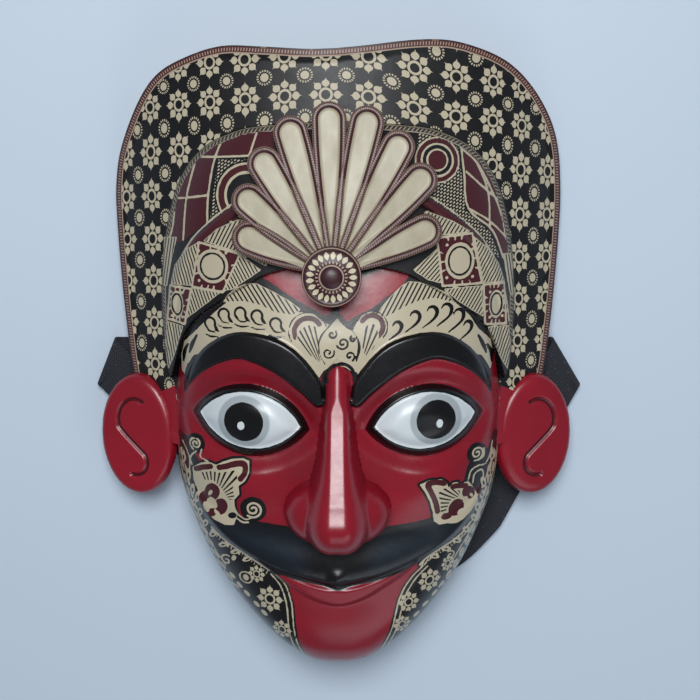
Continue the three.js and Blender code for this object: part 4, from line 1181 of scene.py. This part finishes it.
# The crown's border: a dark edge, a maroon band with a cross-hatched rope, and a pale line inside it
rim, along = lacquer.reads("rim"), lacquer.reads("rim_along")
lacquer.coat(tint(72, 30, 32), rim < 3)
rope = ((along / 1.3 + rim * 0.12).from_whole().size() < 0.17) & rim.within(0.95, 2.35)
lacquer.coat(tint(160, 140, 122), rope | rim.within(2.85, 3.4))
lacquer.coat(tint(40, 24, 22), rim < 0.5)
lacquer.coat(tint(120, 92, 74), (rim < 0.7) & (lacquer.noise(0.5, 4) > 0.13))

# Small dashes on the cap's black ground, the cap's twisted border, and the drawn colours over them
du, dv = x * 0.8 + y * 0.6, y * 0.8 - x * 0.6
row_of_dashes = dv / 1.15
stagger = (row_of_dashes - row_of_dashes.from_whole()) * 0.5
dash = ((du / 1.9 + stagger).from_whole().size() < 0.3) & (row_of_dashes.from_whole().size() < 0.25)
lacquer.coat(CREAM, dash & (lacquer.reads("dashes") < 0))
cap_rim, cap_along = lacquer.reads("cap_rim"), lacquer.reads("cap_along")
lacquer.coat(tint(50, 40, 40), cap_rim.within(0, CAP_BORDER))
twist = ((cap_along / 1.9 + cap_rim * 0.42).from_whole().size() < 0.17) & cap_rim.within(0.7, 2.3)
cap_lines = cap_rim.within(0.1, 0.5) | cap_rim.within(2.45, CAP_BORDER)
lacquer.coat(tint(150, 141, 120), twist | cap_lines)
lacquer.coat(MAROON, painted("maroon"))
lacquer.coat(CREAM, painted("cream"))
jaw_rim, jaw_along = lacquer.reads("jaw_rim"), lacquer.reads("jaw_along")
leaf = (jaw_along / 6.4 + jaw_rim * 0.12).from_whole() * 2.3
bulge = (jaw_rim - 4.4) / 1.9
leaves = (leaf * leaf + bulge * bulge) < 0.85
vein = (jaw_rim - 4.4).size() < 0.25
lacquer.coat(CREAM, leaves & (vein < 0.5) & (lacquer.reads("chain") < 0))
lacquer.coat(CREAM, jaw_rim.within(1.6, 2.1) & (lacquer.reads("chain") < 0))
lines = lacquer.reads("hatch_lines").from_whole().size() < 0.2
lacquer.coat(BLACK, lines & (lacquer.reads("hatching") < -0.3))
lacquer.coat(MAROON, painted("brown"))
lacquer.coat(CREAM, painted("leaf"))
lacquer.coat(BLACK, painted("ink"))
lacquer.coat(WHITE, painted("white"))
lacquer.coat(GREY, lacquer.reads("grey") * -1.2)
lacquer.coat(BLACK, painted("pupil"))
lacquer.coat(RED, painted("red"))
lacquer.coat(WHITE, painted("spark"))
grain = lacquer.noise(0.06, 4, (1, 0.12, 1))
bare = tint(196, 160, 112)
unpainted = lacquer.reads("front") < 0.02
lacquer.coat(bare, unpainted)
lacquer.coat(tint(158, 116, 74), unpainted & (grain * 2.5 + 0.4))
rubbed = cloudy * 0.25 + lacquer.noise(0.4, 3) * 0.1 + 0.46
rubbed = rubbed - lacquer.reads("face") * 0.17 + unpainted * 0.2
body.data.materials.append(lacquer.done(lacquer.noise(0.12, 3), 0.12, rubbed))


def finish_piece(piece, node):
    """Moves a piece from where it is drawn to its place in the frame, where it stands for a CAD node."""
    piece.data.transform(Matrix.Translation((0, -MIDDLE_Y * MM, 0)))
    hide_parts(node)
    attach(piece, "root")


finish_piece(body, "mask")

# Fan: nine petals that spread from the button over the cap, carved from one thin board and glued on. Each
# has a raised edge with a fringe and a maroon line round a shallow cream hollow, and dark brown sides.
FAN = {"x": -2.2, "y": 38.9, "z": 79.5, "fall": 12, "reach": 75, "thickness": 12}
PETALS = [
    (-66, 46), (-48.4, 54.6), (-31.3, 62.2), (-16.3, 69.6), (-1, 73), (13.1, 73), (27.5, 68),
    (43.1, 62.3), (65, 51),
]
PETAL = {"root": 8, "root_half_width": 2.4, "half_width": 7.4, "rim": 1.9, "dish": 1.6, "bevel": 0.6}


def petal_outline(length):
    straight = length - PETAL["half_width"] - PETAL["root"]
    share = np.linspace(0, 1, 10)
    widening = PETAL["half_width"] - PETAL["root_half_width"]
    half = PETAL["root_half_width"] + widening * np.sin(share * math.pi / 2)
    side = np.column_stack([half, PETAL["root"] + straight * share])
    a = np.linspace(0, math.pi / 2, 9)[1:]
    radius = PETAL["half_width"]
    tip = np.column_stack([radius * np.cos(a), length - radius + radius * np.sin(a)])
    right = np.vstack([side, tip])
    return np.vstack([right, right[-2::-1] * (-1, 1)])


def fan_height(y):
    return FAN["z"] - FAN["fall"] * y / FAN["reach"]


fan_wood = Finish("fan_wood", 0.42)
fan_wood.coat(tint(46, 24, 24))
rim, along = fan_wood.reads("rim"), fan_wood.reads("rim_along")
share, top = fan_wood.reads("share"), fan_wood.reads("front") > 0.5
brushed = fan_wood.noise(0.12, 4, (1, 0.5, 1))
fan_wood.coat(tint(60, 16, 24), (rim > 0.3) & top)
ticks = (along / 1.05 + rim * 0.25).from_whole().size() < 0.28
fan_wood.coat(tint(126, 104, 90), ((ticks & rim.within(0.75, 1.6)) | rim.within(0.15, 0.42)) & top)
fan_wood.coat(tint(30, 20, 22), rim.within(1.6, 1.85) & top)
heart = ((rim > 2.75) | (share > 0.5)) & (rim + brushed * 0.5 > 1.1) & top
fan_wood.coat(tint(168, 160, 138), heart)
fan_wood.coat(tint(148, 137, 114), heart & (brushed * 2 + 0.2))
fan_finish = fan_wood.done(fan_wood.noise(0.2, 4), 0.15, brushed * 0.3 + 0.46)
for number, (angle, length) in enumerate(PETALS, 1):
    outline = petal_outline(length)

    def petal_front(x, y):
        inside = to_edge(x, y, outline)
        rim = -PETAL["bevel"] * (1 - ease(inside / PETAL["bevel"]))
        return fan_height(y) + rim - PETAL["dish"] * ease((inside - PETAL["rim"]) / 1.6)

    def petal_back(x, y):
        return fan_height(y) - FAN["thickness"]

    petal = carved_board(f"petal_{number}", outline, 1.2, petal_front, petal_back, (lambda x, y: y > 0,))
    spots = vertex_places(petal)
    right = outline[: len(outline) // 2 + 1]
    along, _ = along_edge(spots[:, 0], spots[:, 1], (right[::-1], right[::-1]))
    inside = to_edge(spots[:, 0], spots[:, 1], outline)
    half = np.interp(spots[:, 1], right[:, 1], np.maximum.accumulate(right[:, 0]))
    for attribute, values in (("rim", inside), ("rim_along", along), ("share", inside / half)):
        keep_values(petal, attribute, values)
    place = Matrix.Translation(Vector((FAN["x"], FAN["y"], 0)) * MM)
    petal.data.transform(place @ Matrix.Rotation(-math.radians(angle), 4, "Z"))
    petal.data.shade_smooth()
    bpy.ops.object.shade_smooth_by_angle(angle=math.radians(50))
    petal.data.materials.append(fan_finish)
    finish_piece(petal, "mask")

# Button: a turned disc in the middle of the fan, with a thin raised edge, a hollow ring and a domed boss
BUTTON_PROFILE = [
    (0, -16), (12.2, -16), (12.6, -15), (12.6, 4.9), (12.3, 5.9), (11.8, 6.2), (11.3, 5.9), (10.6, 5.6),
    (8.6, 6.1), (7, 6.6), (5.6, 6.9), (5.2, 7.3), (4.6, 7.6), (3.8, 8.3), (2.4, 8.8), (0.8, 9),
]
bpy.ops.object.select_all(action="DESELECT")
bpy.ops.mesh.primitive_circle_add(vertices=72, radius=BUTTON_PROFILE[1][0] * MM, fill_type="NGON")
button = bpy.context.object
button.name = button.data.name = "button"
bpy.ops.object.mode_set(mode="EDIT")
bpy.ops.mesh.select_all(action="SELECT")
bpy.ops.transform.translate(value=(0, 0, BUTTON_PROFILE[1][1] * MM))
for (r0, z0), (r1, z1) in zip(BUTTON_PROFILE[1:-1], BUTTON_PROFILE[2:]):
    bpy.ops.mesh.extrude_region_move(TRANSFORM_OT_translate={"value": (0, 0, (z1 - z0) * MM)})
    bpy.ops.transform.resize(value=(r1 / r0, r1 / r0, 1))
bpy.ops.mesh.select_all(action="SELECT")
bpy.ops.mesh.normals_make_consistent(inside=False)
bpy.ops.transform.translate(value=(FAN["x"] * MM, FAN["y"] * MM, FAN["z"] * MM))
bpy.ops.object.mode_set(mode="OBJECT")
button.data.shade_smooth()
bpy.ops.object.shade_smooth_by_angle(angle=math.radians(40))
button_wood = Finish("button_wood", 0.4)
x, y, z = button_wood.place()
x, y = x - FAN["x"], y - (FAN["y"] - MIDDLE_Y)
reach = (x * x + y * y).root()
turn = button_wood.sum("ARCTAN2", y, x) / (2 * math.pi)
top = z > FAN["z"] + 4
button_wood.coat(tint(52, 18, 24))
button_wood.coat(tint(150, 128, 112), reach.within(11.9, 12.35) & top)
bulge = (reach - 9) / 1.75
drops = (turn * 21).from_whole().size() < (1 - bulge * bulge) * 0.38
button_wood.coat(tint(190, 180, 152), drops & top)
rays = ((turn * 26).from_whole().size() < 0.2) & reach.within(5.7, 6.7)
button_wood.coat(tint(168, 146, 128), (rays | reach.within(4.7, 5.3)) & top)
button_wood.coat(tint(30, 12, 18), reach.within(4.3, 4.7) & top)
button_shine = button_wood.noise(0.3, 3) * 0.3 + 0.4
button.data.materials.append(button_wood.done(button_wood.noise(0.25, 3), 0.12, button_shine))
finish_piece(button, "mask")

# Ears: two thick oval discs, glued to the temples and leaning outwards, each with an S-shaped groove
EAR = {
    "left": -94, "right": 91.8, "y": -40.5, "z": 20, "half_width": 19.5, "half_height": 29,
    "thickness": 9.5, "lean": 20,
}
EAR_GROOVE = [(-0.6, 7.5, 8.5, 9.5, 60, 214), (-0.4, -13, 6.2, 6.4, 60, -108)]


def ear_groove(side):
    route = []
    for x, y, across, along, first, last in EAR_GROOVE:
        for a in np.radians(np.linspace(first, last, 8)):
            route.append((-side * (x + across * math.cos(a)), y + along * math.sin(a), 0.4))
    return spline(route, 4)


def ear_board(side):
    turn = np.linspace(0, 2 * math.pi, 72, endpoint=False)
    outline = np.column_stack([EAR["half_width"] * np.cos(turn), EAR["half_height"] * np.sin(turn)])
    half = EAR["thickness"] / 2
    upper = curve_through([(0, -0.1), (0.015, 0.35), (0.05, 0.72), (0.12, 0.93), (0.2, 1), (1, 1.06)])
    lower = curve_through([(0, -0.1), (0.05, -0.7), (0.2, -1), (1, -1)])

    def inside(x, y):
        return 1 - np.hypot(x / EAR["half_width"], y / EAR["half_height"])

    def ear_front(x, y):
        groove = to_stroke(x, y, ear_groove(side))
        return half * upper(inside(x, y)) - 1.2 * ease((1.3 - groove) / 1.7)

    def near_groove(x, y):
        return to_stroke(x, y, ear_groove(side)) < 2.4

    def ear_back(x, y):
        return half * lower(inside(x, y))

    def everywhere(x, y):
        return inside(x, y) > -1

    name = "ear_left" if side < 0 else "ear_right"
    ear = carved_board(name, outline, 1.8, ear_front, ear_back, (everywhere, near_groove))
    spots = vertex_places(ear)
    inset = inside(spots[:, 0], spots[:, 1]) * EAR["half_width"]
    keep_values(ear, "edge", inset)
    keep_values(ear, "groove", to_stroke(spots[:, 0], spots[:, 1], ear_groove(side)))
    x = EAR["left"] if side < 0 else EAR["right"]
    place = Matrix.Translation(Vector((x, EAR["y"], EAR["z"])) * MM)
    ear.data.transform(place @ Matrix.Rotation(math.radians(side * EAR["lean"]), 4, "Y"))
    return ear


ear_lacquer = Finish("ear_lacquer", 0.3)
ear_lacquer.coat(tint(140, 18, 36))
ear_lacquer.coat(tint(112, 12, 28), ear_lacquer.noise(0.03, 3) * 1.6 + 0.3)
scuffs = ear_lacquer.noise(0.5, 4) + ear_lacquer.reads("edge") * -0.35
ear_lacquer.coat(tint(176, 120, 122), scuffs > 0.12)
# Painted shade: darker red along the bottom of the carved S-shaped groove
ear_lacquer.coat(tint(70, 8, 18), ear_lacquer.reads("groove") < 0.35)
ear_finish = ear_lacquer.done(ear_lacquer.noise(0.12, 3), 0.12)
for side in (-1, 1):
    ear = ear_board(side)
    ear.data.shade_smooth()
    ear.data.materials.append(ear_finish)
    finish_piece(ear, "mask")

# Strap: flat black elastic, 22 mm wide. It starts under the crown at both temples and comes out flat, is
# folded back at a slant beside each ear, and runs on its edge through the hollow behind the face.
STRAP = {"half": 11, "thick": 1.4, "low": 1.1, "fold": 1.6, "from": 71, "flat": 99}
STRAP_FOLDS = {"left": (110, -8, -136, 38), "right": (107.6, -8, -118, 84)}
STRAP_ROUTE = [
    (-62, -54, 4.8, 6), (-42, -72, 10.5, 50), (-19, -88, 12.8, 85), (5, -102, 12.6, 80),
    (25, -109.5, 9.8, 42), (42, -107.5, 5, 8), (56, -99, 4.4, 0),
]


def strap_end(x, y, heading, back):
    """One end, as (middle, half-width, half-thickness): under the crown, out to the fold, and back."""
    half, thin = STRAP["half"], STRAP["thick"] / 2

    def underside(at):
        return float(crown_arch(np.array(at))) - CROWN["wall"] - thin

    drop = [
        (71, underside(71) - 2), (75, underside(75) - 2), (79, underside(79) - 3.5), (82.5, 9), (86, 4),
        (90, 2), (STRAP["flat"], STRAP["low"]),
    ]
    height = curve_through(drop)
    rings = []
    for at in np.arange(STRAP["from"], STRAP["flat"] + 0.1, 2):
        slope = math.atan((height(at + 0.2) - height(at - 0.2)) / 0.4)
        lean = Vector((-math.sin(slope), 0, math.cos(slope))) * thin
        rings.append((Vector((at, y, float(height(at)))), Vector((0, half, 0)), lean))
    out = Vector((1, 0, 0))
    home = Vector((math.cos(math.radians(heading)), math.sin(math.radians(heading)), 0))
    crease = (out + home).normalized()
    outwards = Vector((-crease.y, crease.x, 0))
    for turn in np.linspace(0, math.pi, 13):
        travelled = turn * STRAP["fold"] / out.dot(outwards)
        middle = Vector((x, y, STRAP["low"] + STRAP["fold"] * (1 - math.cos(turn))))
        middle += crease * travelled * out.dot(crease) + outwards * STRAP["fold"] * math.sin(turn)
        up = Vector((0, 0, math.cos(turn) * thin)) - outwards * math.sin(turn) * thin
        rings.append((middle, crease * (half / crease.y), up))
    last = rings[-1]
    for share in np.linspace(0.1, 1, 10):
        rings.append((last[0] + home * back * share, Vector((home.y, -home.x, 0)) * half, last[2]))
    return rings


def strap_rings():
    left = [tuple(Vector((-v.x, v.y, v.z)) for v in ring) for ring in strap_end(*STRAP_FOLDS["left"])]
    right = strap_end(*STRAP_FOLDS["right"])[::-1]
    stops = np.array([(*left[-1][0], 0), *STRAP_ROUTE, (*right[0][0], 0)])
    route = spline(stops[:, :3], 8)
    roll = curve_through([(i, math.radians(stop[3])) for i, stop in enumerate(stops)])
    between = []
    for i in range(1, len(route) - 1):
        ahead = Vector(route[i + 1] - route[i - 1])
        across = Vector((-ahead.y, ahead.x, 0)).normalized()
        a = float(roll(i / 8))
        wide = (across * math.cos(a) + Vector((0, 0, math.sin(a)))) * STRAP["half"]
        up = (across * math.sin(a) - Vector((0, 0, math.cos(a)))) * (STRAP["thick"] / 2)
        between.append((Vector(route[i]), wide, up))
    return [*left, *between, *right]


rings = strap_rings()
COLUMNS_ACROSS = 11
bpy.ops.object.select_all(action="DESELECT")
bpy.ops.mesh.primitive_grid_add(x_subdivisions=COLUMNS_ACROSS - 1, y_subdivisions=len(rings) - 1, size=2)
strap = bpy.context.object
strap.name = strap.data.name = "strap"
grid = np.empty(len(strap.data.vertices) * 3)
strap.data.vertices.foreach_get("co", grid)
grid = grid.reshape(-1, 3)
across = grid[:, 0]
steps = [0, *np.cumsum([(b[0] - a[0]).length for a, b in zip(rings[:-1], rings[1:])])]
ring_number = np.rint((grid[:, 1] + 1) / 2 * (len(rings) - 1)).astype(int)
for i, vertex in enumerate(strap.data.vertices):
    middle, half_width, _ = rings[ring_number[i]]
    vertex.co = (middle + half_width * across[i]) * MM
for attribute, values in (("across", across * STRAP["half"]), ("along", np.array(steps)[ring_number])):
    keep_values(strap, attribute, values)
thicken = strap.modifiers.new("thickness", "SOLIDIFY")
thicken.thickness = STRAP["thick"] * MM
thicken.offset = 0
thicken.use_even_offset = False
bpy.ops.object.modifier_apply(modifier=thicken.name)
bpy.ops.object.mode_set(mode="EDIT")
bpy.ops.mesh.select_all(action="SELECT")
bpy.ops.mesh.normals_make_consistent(inside=False)
bpy.ops.object.mode_set(mode="OBJECT")
strap.data.shade_smooth()
bpy.ops.object.shade_smooth_by_angle(angle=math.radians(50))
elastic = Finish("woven_elastic", 0.85)
across, along = elastic.reads("across"), elastic.reads("along")
cords = (across / 1.1).from_whole().size()
picks = (along / 0.9 + (across / 1.1 - (across / 1.1).from_whole()) * 0.5).from_whole().size()
elastic.coat(tint(20, 22, 28))
elastic.coat(tint(44, 47, 56), (cords < 0.34) & (picks < 0.3))
elastic.coat(tint(60, 62, 70), elastic.noise(0.6, 4) > 0.16)
strap.data.materials.append(elastic.done((picks * -1 - cords) * 1.0, 0.3))
finish_piece(strap, "strap")
